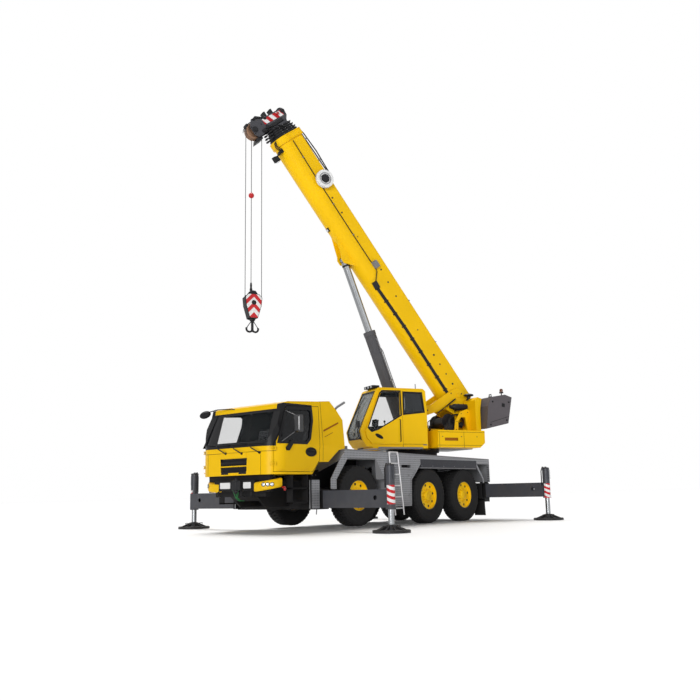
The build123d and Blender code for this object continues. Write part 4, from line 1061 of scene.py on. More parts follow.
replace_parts(middle, "front_bumper")
form = Form(veh)
for y0, y1 in bumperTrim["plates"]:
    form.pane(rounded(oblong(y0, y1, 0.935, 1.065), 0.02), 6.482, 6.492)
form.finish("blankPlates", whitePaint, "carrier", 0.002)
form, lens = Form(veh), Form(veh)
for side in (-1, 1):
    for y in bumperTrim["lamps"]:
        spot = bumperFront(side * y, -0.002, 1.005)
        turn = max(0.0, y - bumperTrim["half"] + bumperTrim["corner"])
        way = Vector((math.sqrt(bumperTrim["corner"] ** 2 - turn ** 2), side * turn, 0))
        r = bumperTrim["lampRadius"]
        form.lathe(spot, way, [(r, -0.004), (r + 0.007, -0.004), (r + 0.007, 0.01), (r, 0.012)], 24)
        lens.lathe(spot, way, button(r, 0.006, r * 0.7, 0.011, 0.013), 24)
form.finish("lampHousings", blackPlastic, "carrier", smooth=True)
lens.finish("headlampLenses", lampGlass, "carrier", smooth=True)
form = Form(veh)
form.slab(6.478, 6.52, -0.04, 0.24, 0.9, 1.1)  # towing jaw
for z in (0.86, 1.09):
    form.lathe((6.5, 0.1, z), up, collar(0.022, 0.075, 0.03), 24)
form.tube([(6.51, 0.1, 0.83), (6.51, 0.1, 1.16)], 0.02, 12)
for y in (-0.5, 0.25, 0.56):
    form.tube([(6.47, y, 0.87), (6.5, y, 0.87), (6.5, y, 0.8), (6.4, y, 0.76)], 0.014)
form.finish("towingJaw", castSteel, "carrier", 0.003, True)
form = Form(veh)
for top, low in ((-0.04, 0.045), (0.1, 0.075), (0.21, 0.105)):  # rigid coolant pipes under the jaw
    form.tube([(6.46, top, 1.07), (6.505, top, 1.03), (6.51, (top * 2 + low) / 3, 0.92), (6.47, low, 0.74),
               (6.38, low, 0.68), (6.28, low, 0.68)], 0.009)
form.finish("greenPipes", greenHose, "carrier", smooth=True)

doorTrim = {"window": [(6.3, 1.885), (6.04, 2.49), (5.985, 2.58), (5.31, 2.62), (5.245, 2.57), (5.25, 2.38),
                       (5.37, 1.98), (5.48, 1.885)],
            "oval": (5.35, 1.685, 0.17, 0.1), "bandWidth": 0.062}
for side, wall in walls.items():
    form = Form(wall)
    grownOut = inset(doorTrim["window"], -0.042)
    fine = []
    for a, b in zip(grownOut, grownOut[1:] + grownOut[:1]):
        fine += [a, tuple((Vector(a) + Vector(b)) / 2)]
    form.band(fine, -0.004, 0.006, doorTrim["bandWidth"])
    x, z, a, b = doorTrim["oval"]
    ring = [(x + a * c, z + b * s) for c, s in circle(28)]
    form.plate(ring, -0.004, 0.004)
    form.band(ring, 0.0, 0.014, 0.016)
    form.tube([(x - 0.11, 0.012, z + 0.02), (x - 0.08, 0.03, z + 0.025), (x + 0.06, 0.03, z + 0.025),
               (x + 0.09, 0.012, z + 0.02)], 0.014)
    form.plate([(6.1, 1.7), (6.12, 1.76), (5.95, 1.93), (5.89, 1.93), (5.9, 1.86), (6.03, 1.7)], 0.0, 0.035)
    form.finish(f"doorTrim_{side}", blackPlastic, f"door_{side}", smooth=True)
    form = Form(wall)
    form.plate([(5.66, 1.268), (5.62, 1.268), (5.14, 1.468), (5.13, 1.485), (5.15, 1.485)], 0.0, 0.006)
    form.plate([(6.32, 1.283), (6.32, 1.3), (5.42, 1.3), (5.42, 1.283)], 0.0, 0.005)
    form.finish(f"doorCreases_{side}", yellowPaint, f"door_{side}", 0.0015)
    form = Form(wall)
    # vent slots drawn as thin plates of painted shade
    form.plate([(4.9, 2.14), (4.38, 2.345), (4.37, 2.375), (4.4, 2.375), (4.9, 2.18)], -0.002, 0.003)
    form.plate([(4.88, 2.02), (4.6, 2.13), (4.6, 2.142), (4.88, 2.032)], -0.002, 0.003)
    form.finish(f"cabVents_{side}", ventPaint, "carrier")
    form = Form(veh)
    s = 1 if side == "left" else -1
    form.slab(6.09, 6.14, s * 1.1, s * 1.17, 0.93, 0.96)
    form.lathe((6.115, s * 1.165, 0.905), (0, s, 0), button(0.036, 0.012, 0.024, 0.022, 0.024), 20)
    form.finish(f"sideLamps_{side}", tailLamp, "carrier", smooth=True)
    form = Form(veh)  # access steps, in black that also stands as painted shade under the cab
    for z in (0.6, 0.9):
        form.slab(5.42, 5.9, s * 1.0, s * 1.17, z, z + 0.03)
    for x in (5.42, 5.88):
        form.slab(x, x + 0.02, s * 1.0, s * 1.17, 0.6, 1.2)
    form.finish(f"cabSteps_{side}", framePaint, "carrier", 0.003)
form = Form(veh)
form.tube([(4.38, 1.02, 2.66), (4.28, 1.02, 2.74), (4.04, 1.04, 2.865)], 0.028, 12)
form.tube([(4.3, 0.2, 2.45), (4.12, 0.2, 2.62), (4.12, 0.2, 2.78)], 0.05, 12)
form.finish("cabRearPipes", greyMetal, "carrier", smooth=True)
form = Form(veh)
for y in (-0.55, 0.0, 0.55):
    form.plate([(5.85, 2.758), (5.02, 2.812), (5.02, 2.828), (5.82, 2.776)], y - 0.05, y + 0.05)
form.finish("roofRibs", yellowPaint, "carrier", 0.006)
form, glass = Form(veh), Form(veh)  # kerb mirror: arm from the roof's edge, oval head
form.tube([(6.13, -0.3, 2.655), (6.2, -0.42, 2.69), (6.33, -0.76, 2.69), (6.42, -0.9, 2.65),
           (6.485, -0.975, 2.6)], 0.011, 10)
form.lathe((6.13, -0.3, 2.64), up, [(0, 0), (0.03, 0), (0.028, 0.03), (0.012, 0.04), (0, 0.04)], 16)
facing = Vector((math.cos(math.radians(50)), math.sin(math.radians(50)), -0.12)).normalized()
across = (up.cross(facing).normalized() + up * 0.38).normalized()
rise = facing.cross(across)
ovals = [[veh(6.485, -0.985, 2.585) + facing * d + across * (w * c) + rise * (h * s) for c, s in circle(32)]
         for d, w, h in ((-0.03, 0.125, 0.08), (0.0, 0.128, 0.082), (0.04, 0.085, 0.052),
                         (-0.0315, 0.112, 0.07), (-0.029, 0.112, 0.07))]
form.prism(ovals[0], ovals[1])
form.prism(ovals[1], ovals[2])
glass.prism(ovals[3], ovals[4])
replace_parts(form.finish("kerbMirror", blackPlastic, "carrier", smooth=True), "cab_mirrors")
glass.finish("kerbMirrorGlass", mirrorFace, "carrier")
form = Form(veh)
for z0, z1 in ((2.1, 2.3), (2.315, 2.41)):
    form.pane(rounded(oblong(1.385, 1.535, z0, z1), 0.02), 5.951, 5.947)
form.finish("doorMirrorGlass", mirrorFace, "door_left")
form = Form(veh)
outline = rounded(oblong(1.370, 1.550, 2.07, 2.43), 0.035)
form.pane(outline, 6.049, 6.068, [(1.46 + (y - 1.46) * 0.75, 2.25 + (z - 2.25) * 0.85) for y, z in outline])
form.band(outline, -0.002, 0.01, 0.012, at=lambda y, d, z: veh(5.95 - d, y, z))
form.finish("doorMirrorHousing", glossBlack, "door_left", 0.002, True)
print("cab ready")
deckTrim = {"slot": (1.87, 2.22, 1.37, 1.46), "flap": (0.35, 0.40), "rivetPitch": 0.19}
for side, s in (("left", 1), ("right", -1)):
    form = Form(veh)
    x0, x1, z0, z1 = deckTrim["slot"]
    form.slab(x0, x1, s * 1.16, s * 1.175, z0, z1)
    for z in (z0 + 0.02, z0 + 0.045, z0 + 0.07):
        form.slab(x0, x1, s * 1.17, s * 1.255, z, z + 0.006)
    form.finish(f"lockerVent_{side}", blackPlastic, "carrier")
    form = Form(veh)  # locker door: frame, hinges, latches
    door = [(2.82, 0.50), (1.88, 0.50), (1.86, 1.10), (1.63, 1.32), (1.86, 1.345), (2.82, 1.345)]
    form.band(door, -0.002, 0.006, 0.02, at=lambda x, d, z: veh(x, s * (1.275 + d), z))
    for z in (0.66, 1.14):
        form.tube([(2.825, s * 1.283, z), (2.825, s * 1.283, z + 0.1)], 0.012, 10)
        form.lathe((1.95, s * 1.275, z + 0.05), (0, s, 0), button(0.032, 0.006, 0.012, 0.01, 0.01), 20)
    form.finish(f"lockerTrim_{side}", greyMetal, "carrier", 0.001)
    form = Form(veh)  # deck edge angle and folded ends
    form.plate([(-1.85, 1.628), (4.31, 1.748), (4.31, 1.778), (-1.85, 1.658)], s * 1.274, s * 1.28)
    form.slab(-1.17, 1.43, s * 1.2, s * 1.279, 1.372, 1.395)
    form.plate([(3.23, 1.1), (2.9, 1.1), (2.9, 1.12), (3.22, 1.57), (3.25, 1.58)], s * 1.274, s * 1.279)
    form.finish(f"deckEdges_{side}", greyMetal, "carrier", 0.001)
    form = Form(veh)
    form.slab(5.15, 5.39, s * 1.2505, s * 1.2545, 0.485, 1.088)
    form.slab(5.39, 5.394, s * 1.18, s * 1.2545, 0.485, 1.088)
    form.finish(f"frontGuard_{side}", checkerPlate, "carrier")
    form = Form(veh)  # mud flap, hung from its bracket
    w, h = deckTrim["flap"]
    rows = 8
    grid = [form.ring([(-1.585 - 0.02 * (i / rows) ** 2, s * (0.9 + w * k / 6), 0.52 - h * i / rows)
                       for k in range(7)]) for i in range(rows + 1)]
    for i in range(rows):
        for k in range(6):
            form.mesh.faces.new((grid[i][k], grid[i][k + 1], grid[i + 1][k + 1], grid[i + 1][k]))
    flap = form.finish(f"mudFlap_{side}", tyreRubber, "carrier", smooth=True)
    thick = flap.modifiers.new("thickness", "SOLIDIFY")
    thick.thickness = 0.008
    form = Form(veh)
    form.slab(-1.6, -1.575, s * 0.88, s * 1.262, 0.52, 0.545)
    form.tube([(-1.59, s * 1.0, 0.53), (-1.6, s * 0.98, 0.98), (-1.7, s * 0.6, 1.1)], 0.018)
    form.slab(-1.9, -1.64, s * 0.98, s * 1.22, 0.485, 0.59)
    form.slab(-1.865, -1.8, s * 0.98, s * 1.22, 0.59, 1.03)
    form.finish(f"rearBracket_{side}", blackPlastic, "carrier", 0.004)
    form = Form(veh)
    for y in (1.02, 1.1, 1.18):
        form.lathe((-1.9, s * y, 0.538), (-1, 0, 0), button(0.034, 0.006, 0.02, 0.014, 0.015), 20)
    form.finish(f"tailLamps_{side}", tailLamp, "carrier", smooth=True)
rivets = []
for s in (-1, 1):
    for k in range(32):
        x = -1.80 + k * deckTrim["rivetPitch"]
        rivets.append((veh(x, s * 1.280, 1.6435 + (x + 1.85) * 0.01948), (0, s, 0), 0.007))
    for z in [0.54 + 0.13 * k for k in range(6)]:
        for x, y, size in ((2.845, 1.275, 0.008), (5.27, 1.2545, 0.007), (5.375, 1.2545, 0.007)):
            rivets.append((veh(x, s * y, z), (0, s, 0), size))
    for x in (1.38, 0.9, 0.4, -0.1, -0.6, -1.13):
        rivets.append((veh(x, s * 1.275, 1.43), (0, s, 0), 0.010))
for c, s in circle(40):  # slewing ring bolts on the pedestal flange
    rivets.append((veh(0.695 * c, 0.695 * s, 1.88), (c, s, 0), 0.012))
bolts("deckFasteners", rivets, "carrier", greyMetal)

driveLine = {"shaftRadius": 0.055, "tankRadius": 0.15}
form = Form(veh)
for a, b, z0, z1 in ((2.9, 1.2, 1.0, 0.72), (0.85, -0.45, 0.7, 0.7), (3.6, 2.95, 0.78, 0.95)):
    reach, r = veh(b, 0, z1) - veh(a, 0, z0), driveLine["shaftRadius"]
    way, length = reach.normalized(), reach.length
    form.lathe((a, 0, z0), way, [(0, 0), (0.075, 0), (0.075, 0.03), (0.04, 0.05), (0.045, 0.12), (r, 0.16),
            (r, length - 0.16), (0.045, length - 0.12), (0.04, length - 0.05), (0.075, length - 0.03),
            (0.075, length), (0, length)], 20)
for x, y in ((2.6, 0.62), (2.6, -0.62), (2.05, 0.62)):
    r = driveLine["tankRadius"]
    form.lathe((x - 0.4, y, 0.9), (1, 0, 0), [(0, -0.06), (r * 0.6, -0.04), (r, 0.0), (r, 0.36),
            (r + 0.004, 0.36), (r + 0.004, 0.44), (r, 0.44), (r, 0.8), (r * 0.6, 0.84), (0, 0.86)], 28)
for x, z in ((3.78, 0.736), (1.02, 0.692), (-0.63, 0.69)):  # suspension cylinders
    for s in (-1, 1):
        form.lathe((x - 0.16, s * 0.58, z), (0.12, 0, 1), [(0, 0), (0.045, 0), (0.045, 0.22), (0.065, 0.22),
                (0.065, 0.56), (0, 0.56)], 20)
        form.tube([(x + 0.1, s * 0.5, z - 0.04), (x + 0.55, s * 0.46, z + 0.18)], 0.03, 10)
form.finish("driveLine", castSteel, "carrier", smooth=True)
form = Form(veh)
for y, z in ((-0.3, 1.36), (-0.25, 1.36), (-0.2, 1.37), (0.28, 1.36), (0.33, 1.37)):
    form.tube([(4.2, y, z + 0.02), (3.0, y, z), (1.9, y, z), (0.9, y * 0.6, z - 0.05)], 0.016)
form.tube([(4.45, 0.62, 1.78), (4.36, 0.6, 1.93), (4.18, 0.58, 1.96), (4.02, 0.55, 1.8)], 0.03, 10)
form.tube([(4.45, -0.5, 1.78), (4.34, -0.5, 1.95), (4.18, -0.5, 1.98), (4.0, -0.5, 1.8)], 0.03, 10)
form.finish("carrierPipes", hoseRubber, "carrier", smooth=True)
form = Form(veh)  # plates and boxes on the deck behind the cab
form.slab(3.05, 3.75, -1.15, -0.5, 1.765, 2.0)
form.slab(3.1, 3.7, -1.1, -0.55, 2.0, 2.02)
form.slab(4.02, 4.26, 0.35, 1.1, 1.775, 1.86)
form.finish("deckBoxes", greyMetal, "carrier", 0.012)
print("deck ready")

padTrim = {"ribs": 10, "reach": 3.117}
legs = [("front_left", 5.058, 1), ("front_right", 5.058, -1), ("rear_left", -1.65, 1),
        ("rear_right", -1.65, -1)]
rib = Form(plain)
rib.plate([(0.105, 0.04), (0.365, 0.022), (0.365, 0.04), (0.115, 0.145)], -0.008, 0.008)
rim = Form(plain)
rim.lathe((0, 0, 0), up, [(0.352, 0.03), (0.384, 0.026), (0.384, 0.052), (0.372, 0.058), (0.352, 0.052)])
spots = [Matrix.Translation(veh(x, s * padTrim["reach"], 0)) for _, x, s in legs]
floats = grown("padRibs", "ring", rim.mesh, spots, [f"jack_{name}" for name, _, _ in legs],
               {"Piece": loose("rib", rib.mesh), "Count": padTrim["ribs"], "Start": 0.3,
                "Material": castSteel})
for piece, (name, _, _) in zip(floats, legs):
    piece.name = f"padRibs_{name}"
for name, x, s in legs:
    form, y = Form(veh), s * padTrim["reach"]
    spot = veh(x, y, 1.330)
    form.lathe(spot, up, [(0, -0.002), (0.096, -0.002), (0.096, 0.018), (0.07, 0.03), (0.03, 0.034),
                          (0.028, 0.05), (0, 0.05)], 28)
    form.tube([spot + Vector((0, -s * 0.05, 0.03)), spot + Vector((0, -s * 0.09, 0.05)),
               spot + Vector((0, -s * 0.135, -0.06)), spot + Vector((0, -s * 0.135, -0.44))], 0.014)
    form.band(rounded([(-0.05, 1.06), (0.05, 1.06), (0.05, 1.3), (-0.05, 1.3)], 0.01), 0.088, 0.094, 0.004,
              at=lambda a, d, z: veh(x + a, s * (padTrim["reach"] + d), z))
    form.finish(f"jackHead_{name}", castSteel, f"outrigger_{name}", smooth=True)
    form = Form(veh)
    form.lathe((x, y, 0.148), up, [(0.064, 0), (0.098, 0), (0.092, 0.007), (0.07, 0.01), (0.064, 0.01)], 28)
    for k in (-1, 1):
        form.tube([(x + k * 0.2, y - 0.05, 0.07), (x + k * 0.22, y - 0.05, 0.14),
                   (x + k * 0.22, y + 0.05, 0.14), (x + k * 0.2, y + 0.05, 0.07)], 0.009)
    form.finish(f"padCollar_{name}", castSteel, f"jack_{name}", smooth=True)
print("outriggers ready")

opTrim = {"door": [(2.06, 2.4), (1.7, 3.3), (1.63, 3.37), (1.08, 3.38), (1.06, 2.74), (1.76, 2.36),
                   (1.95, 2.3)],
          "rear": [(1.0, 2.75), (1.0, 3.37), (0.4, 3.37), (0.33, 2.83)],
          "seal": 0.028}
form = Form(sup)
form.band(inset(opTrim["door"], -0.006), 1.262, 1.276, opTrim["seal"])
oval = [(1.735 + 0.11 * c + 0.03 * s, 2.195 + 0.03 * c + 0.062 * s) for c, s in circle(24)]
form.plate(oval, 1.262, 1.273)
form.tube([(1.66, 1.275, 2.175), (1.68, 1.295, 2.185), (1.79, 1.295, 2.215), (1.81, 1.275, 2.22)], 0.011)
form.tube([(1.12, 1.262, 2.06), (1.12, 1.3, 2.08), (1.12, 1.3, 2.62), (1.12, 1.262, 2.64)], 0.011)
form.finish("operatorDoorTrim", blackPlastic, "operator_door", smooth=True)
form = Form(sup)
form.band(opTrim["rear"], 1.229, 1.234, 0.045)
edge = [(2.190, 2.080), (2.250, 2.330), (2.150, 2.560), (1.760, 3.400), (1.680, 3.450)]


def opFront(y, d, z):  # d ahead of the operator cab's front
    for (xa, za), (xb, zb) in zip(edge, edge[1:]):
        if z <= zb or (xb, zb) == edge[-1]:
            return sup(xa + (xb - xa) * (z - za) / (zb - za) + d, y, z)


form.band([(0.485, 2.12), (0.485, 2.33), (0.485, 2.56), (0.485, 3.36), (1.175, 3.36), (1.175, 2.56),
           (1.175, 2.33), (1.175, 2.12)], -0.004, 0.01, 0.03, at=opFront)
form.tube([opFront(0.83, 0.02, 2.2), opFront(0.86, 0.045, 2.6), opFront(0.7, 0.035, 3.05)], 0.008)
form.tube([opFront(0.6, 0.03, 2.8), opFront(0.78, 0.03, 3.25)], 0.01, 6)
form.slab(1.6, 1.8, 0.62, 1.1, 3.452, 3.52)  # roof work lamp
form.slab(1.56, 1.64, 0.55, 0.6, 3.44, 3.5)
form.tube([(0.52, 1.1, 3.455), (0.52, 1.1, 3.6)], 0.01)
form.tube([(2.2, 1.18, 2.1), (2.3, 1.2, 2.2), (2.31, 1.2, 2.36), (2.27, 1.18, 2.42)], 0.012)
form.slab(2.26, 2.29, 1.08, 1.22, 2.42, 2.58)
form.finish("operatorCabTrim", blackPlastic, "superstructure", smooth=True)
form = Form(sup)
for y in (0.7, 0.86, 1.02):
    form.lathe((1.8, y, 3.486), superX, button(0.03, 0.008, 0.016, 0.014, 0.015), 20)
form.finish("operatorWorkLamps", lampGlass, "superstructure", smooth=True)
form = Form(sup)
form.plate(rounded([(1.45, 3.4535), (0.75, 3.4585), (0.75, 3.472), (1.45, 3.467)], 0.004), 0.58, 1.08)
form.finish("roofHatch", darkGlass, "superstructure", 0.003)
form = Form(sup)
form.tube([(0.3, 1.236, 1.99), (0.42, 1.246, 1.99)], 0.014)
form.slab(0.45, 1.75, 1.236, 1.262, 1.88, 1.926)
form.finish("operatorRails", greyMetal, "superstructure", smooth=True)

form = Form(sup)
for x, z in ((-0.2, 2.22), (-0.8, 2.22), (-1.3, 2.22)):
    for s in (1, -1):
        form.lathe((x, s * 1.22, z), superY * s, button(0.014, 0.004, 0.006, 0.007, 0.007), 16)
form.finish("boxLatches", castSteel, "superstructure", smooth=True)
form = Form(sup)  # pumps, valve bank and filters inside the arches
for s in (-1, 1):
    form.lathe((-1.3, s * 0.5, 2.6), superX, [(0, 0), (0.085, 0), (0.085, 0.02), (0.07, 0.03), (0.07, 0.24),
            (0.09, 0.25), (0.09, 0.27), (0.04, 0.28), (0.04, 0.33), (0, 0.33)], 24)
    form.lathe((-1.1, s * 0.57, 2.41), up, button(0.055, 0.2, 0.045, 0.23, 0.24), 20)
    form.slab(-1.0, -0.8, s * 0.4, s * 0.6, 2.41, 2.6)
    for k in range(4):
        form.lathe((-0.975 + k * 0.05, s * 0.5, 2.6), up, button(0.016, 0.05, 0.01, 0.06, 0.06), 12)
form.lathe((-1.78, 0.52, 3.1), superX, [(0, 0), (0.05, 0), (0.085, 0.03), (0.085, 0.2), (0.09, 0.2),
        (0.09, 0.23), (0.085, 0.23), (0.085, 0.55), (0.09, 0.55), (0.09, 0.58), (0.085, 0.58),
        (0.085, 0.72), (0.05, 0.76), (0.05, 0.84), (0, 0.84)], 28)
for x in (-1.56, -1.21):
    form.slab(x, x + 0.03, 0.36, 0.56, 3.0, 3.03)
    form.slab(x, x + 0.03, 0.345, 0.375, 2.95, 3.14)
form.finish("machinery", castSteel, "superstructure", smooth=True)
form = Form(sup)
for k, (y, z) in enumerate(((0.44, 2.66), (0.5, 2.68), (0.56, 2.66), (-0.44, 2.66), (-0.52, 2.68))):
    form.tube([(-0.93 + 0.02 * k, y, z - 0.05), (-0.93 + 0.02 * k, y, z + 0.08), (-1.02, y, z + 0.2),
               (-1.2, y * 1.02, z + 0.22), (-1.34, y, z + 0.08), (-1.36, y, z - 0.1)], 0.014)
for k in range(3):  # hose loop from the turntable up to the boom
    y = 0.385 + 0.028 * k
    form.tube([(-0.3, y, 2.4), (-0.36, y, 2.62), (-0.62, y, 2.92 + 0.02 * k), (-1.0, y, 3.2),
               (-1.2, y, 3.34)], 0.011)
form.finish("superstructureHoses", hoseRubber, "superstructure", smooth=True)
form = Form(sup)  # flat air cap on its pipe
form.lathe((-1.58, 0.52, 3.32), up, [(0, 0), (0.045, 0), (0.045, 0.09), (0.13, 0.1), (0.145, 0.125),
        (0.12, 0.15), (0.05, 0.165), (0, 0.168)], 32)
form.slab(-1.64, -1.52, 0.46, 0.58, 3.28, 3.33)
form.tube([(-2.4, 0.95, 3.38), (-2.4, 0.95, 3.5)], 0.016, 10)
form.lathe((-2.4, 0.95, 3.48), up, button(0.06, 0.025, 0.052, 0.03, 0.03), 24)
for y in (-0.8, 0.8):
    form.lathe((-2.12, y, 3.36), up, disc(0.055, 0.03), 20)
    form.tube([(-2.12, y - 0.05, 3.38), (-2.12, y - 0.04, 3.45), (-2.12, y + 0.04, 3.45),
               (-2.12, y + 0.05, 3.38)], 0.014)
form.finish("tailFittings", castSteel, "superstructure", smooth=True)
form = Form(sup)
form.lathe((-2.4, 0.95, 3.508), up, [(0, 0), (0.048, 0), (0.048, 0.06), (0.04, 0.088), (0.02, 0.098),
        (0, 0.1)], 24)
form.finish("beacon", amberLamp, "superstructure", smooth=True)
# painted shade: black plates in the counterweight's recesses
form = Form(sup)
for s in (-1, 1):
    form.plate([(-2.3, 3.05), (-2.2, 3.07), (-2.21, 3.17), (-2.31, 3.15)], s * 1.199, s * 1.203)
    form.plate([(-1.79, 2.62), (-2.44, 2.8), (-2.442, 2.812), (-1.792, 2.632)], s * 1.199, s * 1.2025)
form.finish("weightRecesses", blackPlastic, "superstructure")
form = Form(sup)  # slewing gear under the platform, slewing motors
form.lathe((0, 0, 1.9), up, collar(0.6, 0.735, 0.018), 64)
for y in (-0.35, 0.35):
    form.lathe((0.62, y, 1.96), up, [(0, 0), (0.12, 0), (0.12, 0.1), (0.09, 0.12), (0.09, 0.3),
            (0.06, 0.34), (0, 0.35)], 28)
form.finish("slewGear", castSteel, "superstructure", smooth=True)
spots = []
for s in (-1, 1):
    for x, z in ((0.82, 2.06), (0.45, 2.35), (0.24, 2.85), (-0.3, 3.0), (-1.1, 3.5), (-1.45, 3.5),
                 (-1.54, 2.7), (-1.45, 2.4)):
        spots.append((sup(x, s * 0.366, z), superY * s, 0.016))
    for x, z in ((-1.02, 2.46), (-1.05, 2.68), (-1.2, 2.9), (-1.42, 2.94), (-1.52, 2.7), (-1.53, 2.46)):
        spots.append((sup(x, s * 0.670, z), superY * s, 0.011))
    for x, z in ((-1.9, 3.2), (-2.45, 3.2), (-1.8, 2.56), (-2.35, 2.7)):
        spots.append((sup(x, s * 1.200, z), superY * s, 0.022))
bolts("superstructureBolts", spots, "superstructure", castSteel)
print("superstructure ready")


def boomSide(s, d, t):  # d out from the boom's left wall, round its belly
    r, low = boomTrim["side"], -boomTrim["top"] + boomTrim["side"]
    if t >= low:
        return boom(s, r + d, t)
    a = math.asin(max(-1.0, (t - low) / r))
    return boom(s, (r + d) * math.cos(a), low + (r + d) * math.sin(a))


form = Form(boomSide)  # channel for the line along the boom, and its blocks
route = [(3.88, -0.25), (2.38, -0.205), (0.04, -0.21)]
for (sa, ta), (sb, tb) in zip(route, route[1:]):
    form.wedge([(sa, ta - 0.04), (sb, tb - 0.04), (sb, tb + 0.04), (sa, ta + 0.04)], 0,
               [(sa, ta - 0.034), (sb, tb - 0.034), (sb, tb + 0.034), (sa, ta + 0.034)], 0.03)
form.wedge([(3.8, -0.31), (4.02, -0.3), (4.02, -0.16), (3.8, -0.17)], 0,
           [(3.82, -0.29), (4.0, -0.28), (4.0, -0.18), (3.82, -0.19)], 0.09)
for k in range(9):
    s = 0.35 + k * 0.43
    t = -0.21 - max(0.0, (s - 2.38)) * 0.03
    form.wedge(oblong(s, s + 0.035, t - 0.055, t + 0.055), 0.0, oblong(s, s + 0.035, t - 0.05, t + 0.05),
               0.036)
form.finish("boomChannel", castSteel, "boom_base", 0.003)
form = Form(boom)  # line and hoses outside the wall
form.tube([boomSide(8.44, 0.016, 0.02), boomSide(7.4, 0.014, 0.0), boomSide(5.6, 0.014, -0.005),
           boomSide(4.55, 0.016, 0.0), boomSide(4.42, 0.018, 0.03)], 0.013)
form.tube([boomSide(4.36, 0.05, 0.02), boomSide(4.2, 0.03, -0.02), boomSide(4.05, 0.035, -0.16),
           boomSide(3.96, 0.06, -0.22)], 0.012)
form.tube([boomSide(0.06, 0.02, -0.21), boomSide(-0.1, 0.045, -0.2), (-0.26, 0.34, -0.12),
           (-0.3, 0.37, 0.04)], 0.014)
for k, y in enumerate((0.17, 0.24)):  # two lines that stand above the boom, from the reel to its head
    form.tube([(7.16, 0.42, 0.36 + 0.02 * k), (7.4, y + 0.06, 0.47), (7.9, y, 0.5 + 0.03 * k),
               (8.5, y - 0.02, 0.485 + 0.02 * k), (8.64, y - 0.02, 0.47)], 0.018)
form.tube([(7.4, -0.2, 0.41), (6.0, -0.2, 0.415), (4.0, -0.2, 0.415), (1.0, -0.2, 0.415),
           (0.1, -0.2, 0.41)], 0.014)
form.finish("boomLines", hoseRubber, "boom_base", smooth=True)
form = Form(boomSide)
form.wedge(oblong(4.28, 4.5, -0.01, 0.15), 0, oblong(4.29, 4.49, 0.0, 0.14), 0.1)
for s in (1.6, 3.0, 5.4, 6.4, 7.9):
    low, high, depth = (-0.022, 0.03, 0.032) if s > 4.5 else (0.36, 0.39, 0.02)
    slope = 0.004 if s > 4.5 else 0.0
    form.wedge(oblong(s, s + 0.03, low, high), 0, oblong(s, s + 0.03, low + slope, high - slope), depth)
for s in (7.62, 8.3):  # saddles under the standing lines
    form.plate([(s, 0.395), (s + 0.06, 0.395), (s + 0.05, 0.5), (s + 0.01, 0.5)], 0.12, 0.27, at=boom)
form.finish("boomBoxes", greyMetal, "boom_base", 0.006)
form = Form(boom)  # access holes and plugs along the wall
holes = [(0.36, 0.085, 0.03), (0.7, 0.085, 0.024), (1.03, 0.085, 0.024), (1.35, 0.085, 0.03),
         (3.33, 0.09, 0.026), (3.78, 0.12, 0.026), (4.18, 0.15, 0.026), (6.09, 0.09, 0.026),
         (6.57, 0.09, 0.026), (5.3, 0.09, 0.018), (2.2, 0.09, 0.02)]
for s, t, r in holes:
    for side in (-1, 1):
        form.lathe((s, side * 0.3165, t), superY * side, button(r, 0.0035, r * 0.75, 0.002, 0.002), 18)
for side in (-1, 1):
    form.lathe((0, side * 0.3165, 0), superY * side, [(0.062, 0), (0.15, 0), (0.15, 0.006), (0.12, 0.012),
            (0.062, 0.012)], 40)
form.finish("boomHoles", castSteel, "boom_base", smooth=True)
form = Form(boom)  # collar ribs and wear pad covers of the base
for side in (-1, 1):
    for s in (8.5, 8.655):
        form.wedge(oblong(s, s + 0.022, -0.1, 0.4), side * 0.352,
                   oblong(s, s + 0.022, -0.08, 0.38), side * 0.372)
    for t in (-0.05, 0.3):
        form.wedge(oblong(8.54, 8.64, t - 0.04, t + 0.06), side * 0.356,
                   oblong(8.545, 8.635, t - 0.035, t + 0.055), side * 0.37)
    form.plate([(-0.28, 0.1), (0.3, 0.22), (0.3, 0.25), (-0.28, 0.13)], side * 0.316, side * 0.323)
form.finish("boomCollarRibs", yellowPaint, "boom_base", 0.003)

s0, t0 = boomTrim["reel"]
form = Form(veh)
centre = boom(s0, 0, t0)
for y in (0.376, 0.444):
    form.lathe(centre + superY * y, superY, [(0.205, 0), (0.252, 0), (0.252, 0.014), (0.24, 0.017),
            (0.205, 0.014)], 48)
for c, s in circle(6):  # open spokes
    way, across = boomS * c + boomT * s, boomT * c - boomS * s
    form.wedge([(0.1, -0.022), (0.21, -0.014), (0.21, 0.014), (0.1, 0.022)], 0.458,
               [(0.1, -0.018), (0.21, -0.01), (0.21, 0.01), (0.1, 0.018)], 0.464,
               at=lambda r, y, w: centre + superY * y + way * r + across * w)
form.finish("cableReelRims", whitePaint, "boom_base", smooth=True)
form = Form(boom)
form.lathe(centre + superY * 0.457, superY, [(0, 0), (0.105, 0), (0.12, 0.006), (0.115, 0.03),
        (0.07, 0.045), (0, 0.047)], 32)
for k in range(9):  # wound cable
    form.lathe(centre + superY * (0.392 + 0.0062 * k), superY,
               [(0.12, -0.003), (0.205, -0.003), (0.2085, 0.0), (0.205, 0.003), (0.12, 0.003)], 48)
form.wedge([(6.96, 0.1), (7.26, 0.1), (7.2, 0.28), (7.02, 0.28)], 0.31,
           [(7.04, 0.12), (7.18, 0.12), (7.16, 0.2), (7.06, 0.2)], 0.375)
form.finish("cableReelDrum", castSteel, "boom_base", smooth=True)
form = Form(veh)
form.lathe(centre + superY * 0.4695, superY, collar(0.15, 0.168, 0.004), 40)
form.finish("cableReelRing", greyMetal, "boom_base", smooth=True)

